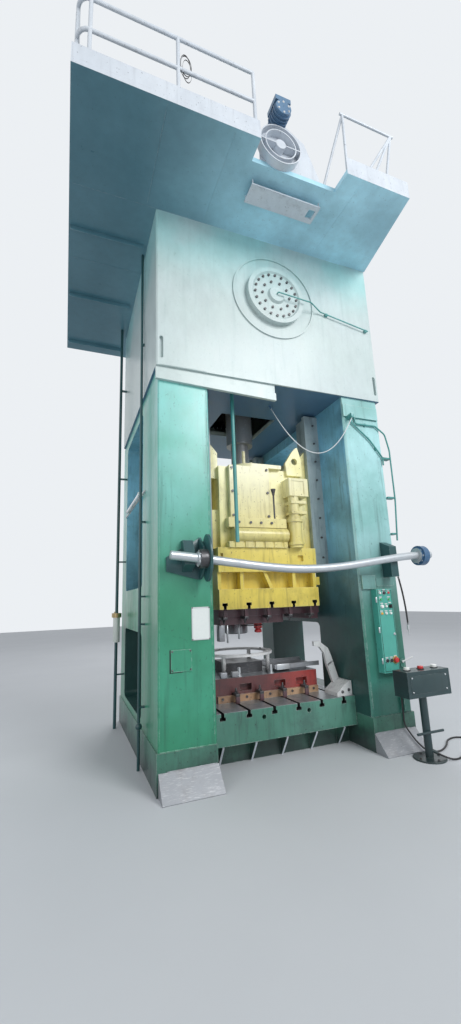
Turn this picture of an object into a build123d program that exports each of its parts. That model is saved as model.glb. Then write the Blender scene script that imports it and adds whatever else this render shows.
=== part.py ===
from build123d import *
import math
import os

# A closed-frame trimming press. A crank in the crown drives a slide that runs between two window
# uprights, over a bolster with T-slots. X runs across the front, Y from front to back and Z up.
# The origin is on the floor under the middle of the crank, midway between the uprights.

os.makedirs("parts", exist_ok=True)

# Clearances
flat_gap = 0.3
turn_gap = 0.5
guide_gap = 0.6
swing_gap = 20

# Base and uprights
opening_width = 1820
leg_width = 570
front_face = -1370
rear_face = 1370
front_leg_depth = 910
rear_leg_depth = 425
leg_wall = 45
leg_edge = 14
base_height = 355
base_lip = 15
window_radius = 70
lower_window_bottom = 430
lower_window_top = 1350
upper_window_bottom = 1870
upper_window_head = 145

# Crown
crown_bottom = 4215
crown_headroom = 213.75
crown_side_overhang = 27
crown_front = -1410
crown_rear = 1270
crown_wall = 60
crown_edge = 16
bore_boss_length = 110
crank_rise = 1205
boss_radius = 568
boss_height = 18
rod_opening_width = 820
rod_opening_depth = 760
slot_width = 42
slot_length = 270
slot_depth = 35
slot_rise = 86
strip_height = 93
strip_thickness = 26
strip_length = 1447
strip_left_drop = 68
strip_right_drop = 120

# Tie rods
tie_radius = 60
tie_clearance = 6
tie_foot = 60
tie_head = 190
nut_size = 105
nut_height = 110

# Bed, bolster and T-slots
bed_front = -910
bed_rear = 910
bolster_bottom = 223
bolster_height = 317
bolster_front = -1095
bolster_rear = 905
bolster_side_gap = 4
slot_pitch = 300
slot_throat = 36
slot_throat_depth = 38
slot_head_width = 66
slot_head_height = 34
bolster_slots = 6
slide_slots = 5
drop_width = 520
drop_depth = 620
drop_floor = 40
lift_hole_radius = 24
lift_hole_depth = 90
lift_hole_spacing = 555
lift_hole_drop = 88
rib_thickness = 22
rib_count = 5
rib_pitch = 372

# Slide
slide_half = 667
slide_front = -873
slide_rear = 873
slide_bottom = 1580
slide_plate_height = 230
recess_height = 200
recess_depth = 170
core_half = 600
core_front = -790
core_top = 3340
apron_height = 290
wing_front = -720
wing_rear = 1100
wing_outer = 752
wing_inner = 586
wing_flat = 40
wing_top = 3680
wing_slope = 150
wing_window_bottom = 2785
wing_window_top = 3190
wing_window_outer = 715
wing_window_depth = 260
lug_thickness = 42
apron_holes = [(400, 481, 2133, 2209), (-640, -605, 2170, 2230)]
lug_outline = [
    (345, 3270), (332, 3442), (440, 3600), (505, 3669), (530, 3669), (576, 3500), (576, 3270),
]
lug_eye = (470, 3470, 46)
recess_ribs = [(-667, 0), (-380, 0), (10, -84), (330, 0), (625, 0)]
stroke = 320

# Gibs on the uprights
gib_lip = 52
gib_lip_depth = 70
gib_depth = 240
rear_gib_start = 955
rear_gib_end = 1180
gib_bottom = 2060
gib_head_gap = 35
gib_bolt_radius = 15
gib_bolt_count = 8
gib_bolt_height = 14

# Crank train
journal_radius = 170
pin_radius = 205
web_radius = 400
web_thickness = 110
pin_length = 600
rod_y = -95
bush_wall = 45
eye_half_width = 380
eye_thickness = 560
eye_bolt_radius = 34
eye_bolt_reach = 250
rod_shaft_radius = 190
rod_palm_width = 620
rod_palm_depth = 480
rod_palm_height = 110
screw_radius = 130
screw_top = 3900
screw_collar_radius = 225
screw_collar_height = 150
gear_module = 24
gear_teeth = 72
pinion_teeth = 18
gear_face = 260
gear_y = 620
gear_web = 90
gear_rim = 130
gear_backlash = 3
pinion_side = 650
drive_shaft_radius = 90
shaft_tail = 60
flywheel_radius = 720
flywheel_face = 260
flywheel_rim = 130
flywheel_web = 70
flywheel_hub = 190
flywheel_y = 1440
groove_count = 4
groove_depth = 22
groove_width = 30
groove_pitch = 48
pulley_radius = 180
motor_x = -560
motor_y = 800
motor_axis_rise = 360
motor_radius = 255
motor_length = 760
motor_shaft_radius = 45
motor_end = 60
motor_foot_width = 520
motor_foot_length = 506
motor_foot_rise = 232
motor_box_inner = 128
motor_box_rear = 120
motor_box_top = 128
belt_thickness = 14
belt_width = 24

# Crank cover
cover_radius = 388
cover_thickness = 52
cover_rim_width = 56
cover_rim_height = 20
cover_hub_radius = 98
cover_hub_height = 34
cover_bolt_size = 17
cover_bolt_height = 16
outer_bolts = 20
inner_bolts = 10
outer_bolt_circle = 288
inner_bolt_circle = 190
grease_pipe_radius = 8
grease_pipe_clip = 34
grease_turns = [(470, 30), (660, 60)]
grease_end_inset = 90
grease_end_drop = 180
grease_bends = [15, 60, 80]
grease_clip_places = [(760, 74), (1387, 175)]

# Service deck, toe boards and handrails
deck_rise = 2035
deck_thickness = 60
deck_left = 2470
deck_front = -2527
deck_rear = 1818
deck_right_front = 1276
deck_inner_end = 900
notch_left = -662
notch_right = 394
notch_depth = 237
toe_height = 170
toe_thickness = 10
rail_radius = 19
rail_height = 840
rail_middle_height = 450
rail_inset = 35
rail_bend = 110
stay_radius = 15
rail_side_posts = 5
rail_front_posts = 3
braced_stays = [([(262, 230), (424, 0)], 441), ([(640, 0), (760, 0), (960, 0)], 1143)]

# Unit in the deck's notch
guard_sheet = 12
brake_wheel_radius = 250
brake_wheel_rim = 60
brake_wheel_width = 90
brake_motor_radius = 92
brake_motor_length = 200
shelf_thickness = 16
shelf_left = -585
shelf_right = 300
shelf_front = -2122
shelf_back = -1890
shelf_drop = 60
shelf_slot = 120
fin_count = 5
guard_y = -2278
guard_foot = 120
guard_outline = [(-560, 0), (200, 0), (20, 470), (-235, 630), (-420, 590), (-560, 290)]
brake_x = -340
brake_rise = 200
brake_motor_rise = 565

# Foot covers
cover_slope_top = 195
cover_reach = 186
cover_sheet = 8

# Bent front bar and its brackets
bar_radius = 44
bar_y = -1570
bar_line = [(-1400, 2125), (-700, 2045), (0, 1985), (700, 2025), (1150, 2085), (1850, 2145)]
left_collar_x = -1074
right_collar_x = 1700
left_collar_z = 2090
right_collar_z = 2134
left_collar_radius = 95
right_collar_radius = 118
collar_width = 80
bracket_width = 105
bracket_front = bar_y + bar_radius + flat_gap
left_bracket = [
    (front_face, 1960), (front_face, 2290), (-1440, 2290),
    (bracket_front, 2140), (bracket_front, 2040),
]
right_bracket = [
    (front_face, 1890), (front_face, 2318), (bracket_front, 2250), (bracket_front, 1890),
]
bracket_profiles = [(-1192, left_bracket), (1330, right_bracket)]
plate_places = [
    (-1145, -957, 1313, 1629, 6), (-1357, -1150, 1035, 1236, 10), (935, 1130, 1756, 1915, 30),
    (1155, 1420, 1785, 1885, 8), (1343, 1425, 380, 680, 40),
]
pad_right = 1450
pad_bottom = 3945
pad_top = 4110
pad_depth = 25
pad_skirt = 12
upright_conduit_radius = 10
upright_conduit_y = -1390
edge_conduit = [
    (1080, 3950), (1080, 3860), (1400, 3860), (1542, 3760), (1591, 3543), (1590, 2864), (1545, 2345),
]
edge_conduit_bends = [30, 60, 80, 300, 600]
cross_conduit = [(1022, 3950), (1022, 3870), (1284, 3658), (1465, 3431), (1465, 3330)]
cross_conduit_bends = [40, 300, 60]
conduit_clip_places = [(1240, 3860), (1373, 3546)]
edge_clips = [(1600, 3420), (1600, 2890), (1560, 2420)]

# Control panel
panel_left = 1070
panel_width = 225
panel_bottom = 815
panel_height = 935
panel_depth = 95
panel_edge = 8
button_radius = 18
button_stroke = 6
button_height = 16
lamp_radius = 13
stop_radius = 28
selector_radius = 22
button_spots = {
    "run_button": (1175, 1705),
    "inch_button": (1130, 1550),
    "up_button": (1120, 950),
    "down_button": (1180, 950),
}
stop_spot = (1240, 950)
selector_spot = (1245, 1550)
lamp_spots = [
    (1115, 1705), (1240, 1705), (1120, 1630), (1235, 1630), (1190, 1550),
    (1115, 1470), (1180, 1470), (1245, 1470),
]
conduit_radius = 11
conduit_top = 1710
conduit_clips = [740, 1240, 1600]
isolator_x = 1395
isolator_z = 915
isolator_size = 60
lever_reach = 150
lever_radius = 8

# Two-hand pedestal
pedestal_x = 1292
pedestal_y = -1748
pedestal_plate_radius = 165
pedestal_plate = 14
post_radius = 40
head_left = 1020
head_width = 580
head_depth = 210
head_bottom = 620
head_top = 880
footrest_height = 262
footrest_length = 350
footrest_radius = 13
cap_radius = 31
cap_height = 34
cap_stroke = 8
cap_spots = {"left_hand_cap": 1120, "stand_stop_cap": 1310, "right_hand_cap": 1500}

# Cords
control_cable_radius = 9
hose_radius = 10
white_cable_radius = 6
nozzle_length = 60
cable_route = [
    (1322, -1396.3, 300), (1322, -1396.3, 240), (1334, -1445, 176), (1352, -1520, 94),
    (1390, -1600, 24), (1450, -1650, 9), (1560, -1660, 9),
    (1740, -1560, 9), (1900, -1420, 9), (2080, -1400, 9), (2150, -1540, 9), (2040, -1680, 9),
    (1840, -1720, 9), (1680, -1820, 9), (1560, -1905, 9), (1420, -1898, 9), (1345, -1810, 60),
]
white_cable_curve = ((151, -869, 4175), (640, -1140, 2950), (985, -1455, 3900), 12)
cable_gland_radius = 16
hose_curve = ((1378, -1510, 1888), (1422, -1530, 1620), (1422, -1530, 1335), 5)

# Adjusting gear on the slide's front
housing_left = -485
housing_right = 60
housing_bottom = 2663
housing_front = -866
disc_x = -140
disc_y = -590
disc_radius = 264
disc_thickness = 49
disc_ear = 128
flange_notches = 6
flange_bolt_x = [-400, -245, -105, 40]
funnel_x = 97
funnel_y = -890
funnel_neck = 2960
funnel_top = 3050
stud_radius = 22
stud_top = 3637
worm_radius = 106
worm_height = 2455
worm_left = -467
worm_right = 255
flange_left = -530
flange_right = 250
flange_thickness = 34
upper_flange_bottom = 2545
upper_flange_top = 2663
lower_flange_bottom = 2300
lower_flange_top = 2370
gearbox_x = 378
gearbox_y = -896
gearbox_radius = 86
gearbox_top = 2692
mount_plate = 34
lower_mount_z = 2728
upper_mount_z = 2862
mount_left = 305
mount_right = 528
adjuster_box_bottom = 2960
adjuster_box_top = 3193
adjuster_box_left = 284
adjuster_box_right = 568
adjuster_box_front = -975

# Tooling
tool_front = -670
tool_rear = 560
upper_shoe_left = -612
upper_shoe_right = 780
upper_shoe_bottom = 1396
upper_plate_bottom = 1490
lower_shoe_left = -678
lower_shoe_right = 670
lower_shoe_top = 800
ring_x = -215
ring_y = -220
ring_radius = 450
ring_width = 76
ring_bottom = 1015
ring_thickness = 28
ring_box = 480
ring_box_top = 930
ring_post_radius = 26
punch_radius = 150
punch_bottom = 1262
tray_left = 110
tray_right = 739
tray_front = -640
tray_back = -150
tray_bottom = 840
tray_thickness = 26
tool_step = 24
gauge_front = -1060
gauge_back = -800
gauge_thickness = 40
gauge_base = [(690, 540), (900, 540), (900, 700), (860, 700), (690, 580)]
gauge_arm = [
    (800, 640), (880, 700), (800, 960), (760, 1060), (640, 1150),
    (560, 1150), (560, 1100), (640, 1080), (700, 1000), (720, 880),
]
gauge_slot = (776, 880)
gauge_slot_length = 90
gauge_slot_width = 24
gauge_slot_lean = 28

# Flank fittings on the left
flank_pipe_radius = 16
front_pipe_stand = 60
front_pipe_y = -670
rear_pipe_stand = 120
rear_pipe_y = 1010
air_pipe_radius = 22
air_head_bottom = 1500
air_head_top = 1562
air_head_radius = 62
bowl_radius = 52
bowl_bottom = 1157
bowl_reach = 66
lamp_z = 2990
lamp_tube_radius = 19
lamp_front = -470
lamp_rear = 530
lamp_carrier_front = -660
lamp_carrier_rear = 985
clip_half = 20
ball_z = 420
flank_clips = [600, 1450, 1750, 2600, 4900]
air_clips = [700, 2300, 3600, 5110]

# Drop pipe in front of the slide
drop_pipe_x = -520
drop_pipe_y = -1130
drop_pipe_radius = 22
drop_pipe_bottom = 2327

# Derived places
frame_half = opening_width / 2 + leg_width
frame_depth = rear_face - front_face
leg_centre = opening_width / 2 + leg_width / 2
upright_height = crown_bottom - base_height
upper_window_top = crown_bottom - upper_window_head
gib_top = crown_bottom - gib_head_gap
crank_height = crown_bottom + crank_rise
front_leg_rear = front_face + front_leg_depth
rear_leg_front = rear_face - rear_leg_depth
crown_half = frame_half + crown_side_overhang
crown_depth = crown_rear - crown_front
crown_centre = (crown_rear + crown_front) / 2
bolster_top = bolster_bottom + bolster_height
slide_shelf = slide_bottom + slide_plate_height
apron_bottom = slide_shelf + recess_height
apron_top = apron_bottom + apron_height
crank_radius = stroke / 2
pin_height = crank_height + crank_radius
bush_radius = journal_radius + bush_wall
bush_length = crown_wall + bore_boss_length
rod_top = crank_height - crank_radius - eye_half_width - swing_gap
gear_radius = gear_module * gear_teeth / 2
pinion_radius = gear_module * pinion_teeth / 2
shaft_distance = gear_radius + pinion_radius + gear_backlash
drive_height = crank_height + math.sqrt(shaft_distance**2 - pinion_side**2)
skirt_depth = front_face - crown_front - strip_thickness
crown_top = drive_height + pinion_radius + gear_module + crown_headroom + crown_wall
crown_height = crown_top - crown_bottom
motor_height = crown_top + motor_axis_rise
deck_bottom = crown_bottom + deck_rise
deck_top = deck_bottom + deck_thickness
rail_top = deck_top + rail_height
rail_middle = deck_top + rail_middle_height
brake_z = deck_top + brake_rise
brake_motor_z = deck_top + brake_motor_rise
front_pipe_x = -frame_half - front_pipe_stand
rear_pipe_x = -frame_half - rear_pipe_stand
cover_face = crown_front - cover_thickness
tie_spots = [(0, front_face + front_leg_depth / 2), (0, rear_face - rear_leg_depth / 2)]


def box(x0, x1, y0, y1, z0, z1, mode=Mode.ADD):
    """Adds or cuts a block between two corners in the part that is being built."""
    with Locations(((x0 + x1) / 2, (y0 + y1) / 2, (z0 + z1) / 2)):
        Box(x1 - x0, y1 - y0, z1 - z0, mode=mode)


def post(x, y, z0, z1, radius, mode=Mode.ADD):
    """Adds or cuts an upright round bar."""
    with Locations((x, y, (z0 + z1) / 2)):
        Cylinder(radius, z1 - z0, mode=mode)


def round_y(x, z, y0, y1, radius, mode=Mode.ADD):
    """Adds or cuts a round bar that runs front to back."""
    with Locations(Location((x, (y0 + y1) / 2, z), (90, 0, 0))):
        Cylinder(radius, y1 - y0, mode=mode)


def round_x(y, z, x0, x1, radius, mode=Mode.ADD):
    """Adds or cuts a round bar that runs across the machine."""
    with Locations(Location(((x0 + x1) / 2, y, z), (0, 90, 0))):
        Cylinder(radius, x1 - x0, mode=mode)


def stay(start, end, radius):
    """Adds a straight round bar between two points."""
    run = Vector(*end) - Vector(*start)
    with BuildSketch(Plane(origin=start, z_dir=run)) as section:
        Circle(radius)
    extrude(section.sketch, amount=run.length)


def front_plane(y):
    """A plane that faces the viewer at depth y, with +X to the right and +Z up."""
    return Plane.XZ.offset(-y)


def t_slots(count, face_y, length, face_z, up):
    """Cuts T-slots that run front to back in a face at face_z; up is 1 for a face on top."""
    with BuildSketch(front_plane(face_y + length)) as profile:
        with Locations((0, face_z - up * slot_throat_depth / 2)):
            with GridLocations(slot_pitch, 1, count, 1):
                Rectangle(slot_throat, slot_throat_depth)
        with Locations((0, face_z - up * (slot_throat_depth + slot_head_height / 2))):
            with GridLocations(slot_pitch, 1, count, 1):
                Rectangle(slot_head_width, slot_head_height)
    extrude(profile.sketch, amount=length, mode=Mode.SUBTRACT)


def tube(points, radii, radius):
    """Sweeps a round bar along straight runs joined by arcs."""
    with BuildLine() as path:
        FilletPolyline(*points, radius=radii)
    first_run = Vector(*points[1]) - Vector(*points[0])
    with BuildSketch(Plane(origin=points[0], z_dir=first_run)) as section:
        Circle(radius)
    sweep(sections=section.sketch, path=path.line)


def axle_plane(x, y, z):
    """A plane that faces the viewer with its origin on an axis that runs front to back."""
    return Plane(origin=(x, y, z), x_dir=(1, 0, 0), z_dir=(0, -1, 0))


def turn_plane(x, z):
    """A plane for a turned profile: its X runs along the axle, its Y is the radius."""
    return Plane(origin=(x, 0, z), x_dir=(0, 1, 0), z_dir=(1, 0, 0))


def cord(points, radius):
    """Sweeps a cord whose corners are rounded as widely as its runs allow."""
    ends = [Vector(*point) for point in points]
    runs = [after - before for before, after in zip(ends, ends[1:])]
    bends = []
    for before, after in zip(runs, runs[1:]):
        half_turn = math.radians(before.get_angle(after)) / 2
        bends.append(0.45 * min(before.length, after.length) / math.tan(half_turn))
    print(f"cord of radius {radius}: bends of {min(bends):.0f} to {max(bends):.0f} mm")
    tube(points, bends, radius)


def sagging(start, pull, end, count):
    """Points on a curve from start to end that is drawn towards a third point."""
    points = []
    for index in range(count + 1):
        t = index / count
        weights = ((1 - t) ** 2, 2 * t * (1 - t), t**2)
        points.append(
            tuple(sum(w * p[k] for w, p in zip(weights, (start, pull, end))) for k in range(3))
        )
    return points


def gland(route, length):
    """Adds the stub that a cord comes out of, in line with the cord's first run."""
    start = Vector(*route[0])
    away = (start - Vector(*route[1])).normalized()
    stay(route[0], tuple(start + away * length), cable_gland_radius)


def spur_gear(teeth, bore, plane, rim=0, turn=0):
    """Adds a spur gear of gear_face width in front of a plane; rim is 0 for a solid blank."""
    pitch_radius = gear_module * teeth / 2
    root = pitch_radius - 1.2 * gear_module
    tip = pitch_radius + gear_module
    half_tooth = math.pi * gear_module / 4 - gear_backlash / 2
    with BuildSketch(plane) as profile:
        Circle(root)
        with BuildLine() as flank:
            Polyline(
                (root - gear_module / 2, -1.45 * half_tooth),
                (root, -1.45 * half_tooth),
                (pitch_radius, -half_tooth),
                (tip, -0.5 * half_tooth),
                (tip, 0.5 * half_tooth),
                (pitch_radius, half_tooth),
                (root, 1.45 * half_tooth),
                (root - gear_module / 2, 1.45 * half_tooth),
                close=True,
            )
        tooth = make_face(flank.edges(), mode=Mode.PRIVATE)
        with PolarLocations(0, teeth, start_angle=turn):
            add(tooth)
        Circle(bore, mode=Mode.SUBTRACT)
    extrude(profile.sketch, amount=gear_face)
    if rim:
        for side_plane in (plane.offset(gear_face), plane.offset((gear_face - gear_web) / 2)):
            with BuildSketch(side_plane) as pocket:
                Circle(root - rim)
                Circle(bore + rim, mode=Mode.SUBTRACT)
            extrude(pocket.sketch, amount=(gear_web - gear_face) / 2, mode=Mode.SUBTRACT)


white_route = sagging(*white_cable_curve)

# Base: two sills under the uprights, the bed between them and ribs under the bolster's edge
with BuildPart() as base:
    for side in (-1, 1):
        inner = side * opening_width / 2
        outer = side * (frame_half + base_lip)
        box(min(inner, outer), max(inner, outer), front_face - base_lip, rear_face, 0, base_height)
    box(-opening_width / 2, opening_width / 2, bed_front, bed_rear, 0, bolster_bottom)
    box(
        -drop_width / 2, drop_width / 2, -drop_depth / 2, drop_depth / 2,
        drop_floor, bolster_bottom, mode=Mode.SUBTRACT,
    )
    for index in range(rib_count):
        rib_x = (index - (rib_count - 1) / 2) * rib_pitch
        with BuildSketch(Plane.YZ.offset(rib_x - rib_thickness / 2)):
            with BuildLine():
                Polyline(
                    (bed_front, 0),
                    (bed_front, bolster_bottom),
                    (bolster_front + rib_thickness, bolster_bottom),
                    (bolster_front + rib_thickness, bolster_bottom - rib_thickness),
                    (bed_front - rib_thickness, 0),
                    close=True,
                )
            make_face()
        extrude(amount=rib_thickness)
    with Locations((0, 0, base_height)):
        with GridLocations(2 * leg_centre, 1, 2, 1):
            with Locations(*tie_spots):
                Hole(tie_radius + tie_clearance, depth=base_height - tie_foot)
base.part.label = "base"
export_step(base.part, "parts/base.step")

# Uprights: a front and a rear box leg joined by a cross member, with two windows between them
window_centre = (front_leg_rear + rear_leg_front) / 2
window_width = rear_leg_front - front_leg_rear
for name, side in (("left_upright", -1), ("right_upright", 1)):
    with BuildPart() as upright:
        with BuildSketch(Plane.YZ.offset(side * leg_centre - leg_width / 2)):
            with Locations((0, (base_height + crown_bottom) / 2)):
                Rectangle(frame_depth, upright_height)
            with Locations((window_centre, (lower_window_bottom + lower_window_top) / 2)):
                RectangleRounded(
                    window_width, lower_window_top - lower_window_bottom, window_radius,
                    mode=Mode.SUBTRACT,
                )
            with Locations((window_centre, (upper_window_bottom + upper_window_top) / 2)):
                RectangleRounded(
                    window_width, upper_window_top - upper_window_bottom, window_radius,
                    mode=Mode.SUBTRACT,
                )
        extrude(amount=leg_width)
        corners = upright.edges().filter_by(Axis.Z).group_by(Axis.Y)
        chamfer(corners[0] + corners[-1], leg_edge)
        with BuildSketch(Plane.XY.offset(base_height)):
            with Locations((side * leg_centre, front_face + front_leg_depth / 2)):
                Rectangle(leg_width - 2 * leg_wall, front_leg_depth - 2 * leg_wall)
            with Locations((side * leg_centre, rear_face - rear_leg_depth / 2)):
                Rectangle(leg_width - 2 * leg_wall, rear_leg_depth - 2 * leg_wall)
        extrude(amount=upright_height, mode=Mode.SUBTRACT)
    upright.part.label = name
    export_step(upright.part, f"parts/{name}.step")

# Crown: a closed box with bores for the crank and the drive shaft and an opening for the rod
with BuildPart() as crown:
    with BuildSketch(Plane.XY.offset(crown_bottom)):
        with Locations((0, crown_centre)):
            Rectangle(2 * crown_half, crown_depth)
    extrude(amount=crown_height)
    chamfer(crown.edges().filter_by(Axis.Z), crown_edge)
    with BuildSketch(Plane.XY.offset(crown_bottom + crown_wall)):
        with Locations((0, crown_centre)):
            Rectangle(2 * (crown_half - crown_wall), crown_depth - 2 * crown_wall)
    extrude(amount=crown_height - 2 * crown_wall, mode=Mode.SUBTRACT)
    # Raised ring round the crank cover
    with BuildSketch(front_plane(crown_front)):
        with Locations((0, crank_height)):
            Circle(boss_radius)
            Circle(boss_radius - boss_height, mode=Mode.SUBTRACT)
    extrude(amount=boss_height)
    # Bearing bosses inside the front and rear walls, with the crank bore through them
    for bush_back in (crown_front + bush_length, crown_rear):
        round_y(0, crank_height, bush_back - bush_length, bush_back, bush_radius + bush_wall)
        round_y(
            0, crank_height, bush_back - bush_length, bush_back, bush_radius, mode=Mode.SUBTRACT
        )
    round_y(
        pinion_side, drive_height, crown_rear - crown_wall, crown_rear,
        drive_shaft_radius + turn_gap, mode=Mode.SUBTRACT,
    )
    # Opening for the rod, holes for the tie rods and the lifting slots beside the front corners
    box(
        -rod_opening_width / 2, rod_opening_width / 2,
        rod_y - rod_opening_depth / 2, rod_y + rod_opening_depth / 2,
        crown_bottom, crown_bottom + crown_wall, mode=Mode.SUBTRACT,
    )
    with BuildSketch(Plane.XY.offset(crown_bottom)):
        with GridLocations(2 * leg_centre, 1, 2, 1):
            with Locations(*tie_spots):
                Circle(tie_radius + tie_clearance)
    extrude(amount=crown_height, mode=Mode.SUBTRACT)
    with BuildSketch(front_plane(crown_front + slot_depth)):
        with Locations((0, crown_bottom + slot_rise + slot_length / 2)):
            with GridLocations(2 * (crown_half - slot_width - crown_edge), 1, 2, 1):
                SlotOverall(slot_length, slot_width, rotation=90)
    extrude(amount=slot_depth, mode=Mode.SUBTRACT)
    # Leaning strip under the front edge, from the left corner to mid span, on a skirt set back
    strip_right = strip_length - crown_half
    for back, depth, left_drop, right_drop in (
        (front_face, skirt_depth, 0, 0),
        (crown_front + strip_thickness, strip_thickness, strip_left_drop, strip_right_drop),
    ):
        with BuildSketch(front_plane(back)):
            with BuildLine():
                Polyline(
                    (-crown_half, crown_bottom - left_drop),
                    (strip_right, crown_bottom - right_drop),
                    (strip_right, crown_bottom - strip_right_drop - strip_height),
                    (-crown_half, crown_bottom - strip_left_drop - strip_height),
                    close=True,
                )
            make_face()
        extrude(amount=depth)
    gland(white_route, crown_bottom + clip_half - white_route[0][2])
crown.part.label = "crown"
export_step(crown.part, "parts/crown.step")

# Tie rods that clamp base, uprights and crown, with the nuts on top
with BuildPart() as tie_rods:
    with BuildSketch(Plane.XY.offset(tie_foot)):
        with GridLocations(2 * leg_centre, 1, 2, 1):
            with Locations(*tie_spots):
                Circle(tie_radius)
    extrude(amount=crown_top + tie_head - tie_foot)
    chamfer(tie_rods.edges().group_by(Axis.Z)[-1], tie_clearance)
    with BuildSketch(Plane.XY.offset(crown_top)):
        with GridLocations(2 * leg_centre, 1, 2, 1):
            with Locations(*tie_spots):
                RegularPolygon(nut_size, 6)
    extrude(amount=nut_height)
tie_rods.part.label = "tie_rods"
export_step(tie_rods.part, "parts/tie_rods.step")

# Crank cover on the crown's front, turned in one piece
with BuildPart() as crank_cover:
    with BuildSketch(Plane.YZ):
        with BuildLine():
            Polyline(
                (crown_front, crank_height),
                (crown_front, crank_height + cover_radius),
                (cover_face - cover_rim_height, crank_height + cover_radius),
                (cover_face - cover_rim_height, crank_height + cover_radius - cover_rim_width),
                (cover_face, crank_height + cover_radius - cover_rim_width - cover_rim_height),
                (cover_face, crank_height + cover_hub_radius + cover_rim_height),
                (cover_face - cover_hub_height, crank_height + cover_hub_radius),
                (cover_face - cover_hub_height, crank_height),
                close=True,
            )
        make_face()
    revolve(axis=Axis((0, 0, crank_height), (0, 1, 0)))
crank_cover.part.label = "crank_cover"
export_step(crank_cover.part, "parts/crank_cover.step")

# Grease pipe from the cover's middle to the crown's right edge, with two clips, and the drop pipe
# from the crown to the worm housing's height in front of the slide
pipe_start = cover_face - cover_hub_height
pipe_front = pipe_start - grease_pipe_clip
pipe_wall = crown_front - boss_height - 2 * grease_pipe_radius
grease_route = [
    (0, pipe_start, crank_height),
    (0, pipe_front, crank_height),
    (grease_turns[0][0], pipe_front, crank_height - grease_turns[0][1]),
    (grease_turns[1][0], pipe_wall, crank_height - grease_turns[1][1]),
    (crown_half - grease_end_inset, pipe_wall, crank_height - grease_end_drop),
]
with BuildPart() as lube_pipes:
    tube(grease_route, grease_bends, grease_pipe_radius)
    for clip_x, clip_drop in grease_clip_places:
        box(
            clip_x - grease_pipe_clip / 2, clip_x + grease_pipe_clip / 2, pipe_wall, crown_front,
            crank_height - clip_drop - grease_pipe_clip / 2,
            crank_height - clip_drop + grease_pipe_clip / 2,
        )
    post(drop_pipe_x, drop_pipe_y, drop_pipe_bottom, crown_bottom, drop_pipe_radius)
    post(drop_pipe_x, drop_pipe_y, crown_bottom - clip_half, crown_bottom, 2 * drop_pipe_radius)
lube_pipes.part.label = "lube_pipes"
export_step(lube_pipes.part, "parts/lube_pipes.step")

# Bushes in the crown's two crank bores
with BuildPart() as crank_bushes:
    for bush_back in (crown_front + bush_length, crown_rear):
        with BuildSketch(front_plane(bush_back)):
            with Locations((0, crank_height)):
                Circle(bush_radius)
                Circle(journal_radius + turn_gap, mode=Mode.SUBTRACT)
        extrude(amount=bush_length)
crank_bushes.part.label = "crank_bushes"
export_step(crank_bushes.part, "parts/crank_bushes.step")

# Crankshaft: journals, two webs and the pin between them, at the top of its turn
pin_front = rod_y - pin_length / 2
pin_back = rod_y + pin_length / 2
with BuildPart() as crankshaft:
    round_y(0, crank_height, crown_front + turn_gap, pin_front, journal_radius)
    round_y(0, crank_height, pin_back, crown_rear - turn_gap, journal_radius)
    for web_back in (pin_front, pin_back + web_thickness):
        with BuildSketch(front_plane(web_back)):
            with Locations((0, crank_height)):
                Circle(web_radius)
            with Locations((0, pin_height)):
                Circle(pin_radius + bush_wall)
        extrude(amount=web_thickness)
    round_y(0, pin_height, pin_front, pin_back, pin_radius)
crankshaft.part.label = "crankshaft"
export_step(crankshaft.part, "parts/crankshaft.step")

with BuildPart() as main_gear:
    spur_gear(
        gear_teeth, journal_radius + flat_gap,
        axle_plane(0, gear_y + gear_face / 2, crank_height), rim=gear_rim,
    )
main_gear.part.label = "main_gear"
export_step(main_gear.part, "parts/main_gear.step")

# Pinion and drive shaft, one piece, with its teeth set between those of the main gear
mesh_angle = math.degrees(math.atan2(drive_height - crank_height, pinion_side))
gear_phase = (mesh_angle * gear_teeth / 360) % 1
pinion_turn = mesh_angle + 180 - (0.5 - gear_phase) * 360 / pinion_teeth
with BuildPart() as drive_shaft:
    spur_gear(
        pinion_teeth, drive_shaft_radius,
        axle_plane(pinion_side, gear_y + gear_face / 2, drive_height), turn=pinion_turn,
    )
    round_y(
        pinion_side, drive_height, gear_y - gear_face / 2 - shaft_tail,
        flywheel_y + flywheel_face / 2 + shaft_tail, drive_shaft_radius,
    )
drive_shaft.part.label = "drive_shaft"
export_step(drive_shaft.part, "parts/drive_shaft.step")

# Flywheel with V-grooves in its rim, free on the drive shaft
flywheel_front = flywheel_y - flywheel_face / 2
flywheel_back = flywheel_y + flywheel_face / 2
with BuildPart() as flywheel:
    with BuildSketch(turn_plane(pinion_side, drive_height)):
        with BuildLine():
            Polyline(
                (flywheel_front, drive_shaft_radius + turn_gap),
                (flywheel_front, flywheel_hub),
                (flywheel_y - flywheel_web / 2, flywheel_hub + flywheel_web / 2),
                (flywheel_y - flywheel_web / 2, flywheel_radius - flywheel_rim),
                (flywheel_front, flywheel_radius - flywheel_rim + flywheel_web / 2),
                (flywheel_front, flywheel_radius),
                (flywheel_back, flywheel_radius),
                (flywheel_back, flywheel_radius - flywheel_rim + flywheel_web / 2),
                (flywheel_y + flywheel_web / 2, flywheel_radius - flywheel_rim),
                (flywheel_y + flywheel_web / 2, flywheel_hub + flywheel_web / 2),
                (flywheel_back, flywheel_hub),
                (flywheel_back, drive_shaft_radius + turn_gap),
                close=True,
            )
        make_face()
        with Locations((flywheel_y, flywheel_radius - groove_depth / 2)):
            with GridLocations(groove_pitch, 1, groove_count, 1):
                Rectangle(groove_width, groove_depth, mode=Mode.SUBTRACT)
    revolve(axis=Axis((pinion_side, 0, drive_height), (0, 1, 0)))
flywheel.part.label = "flywheel"
export_step(flywheel.part, "parts/flywheel.step")

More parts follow.
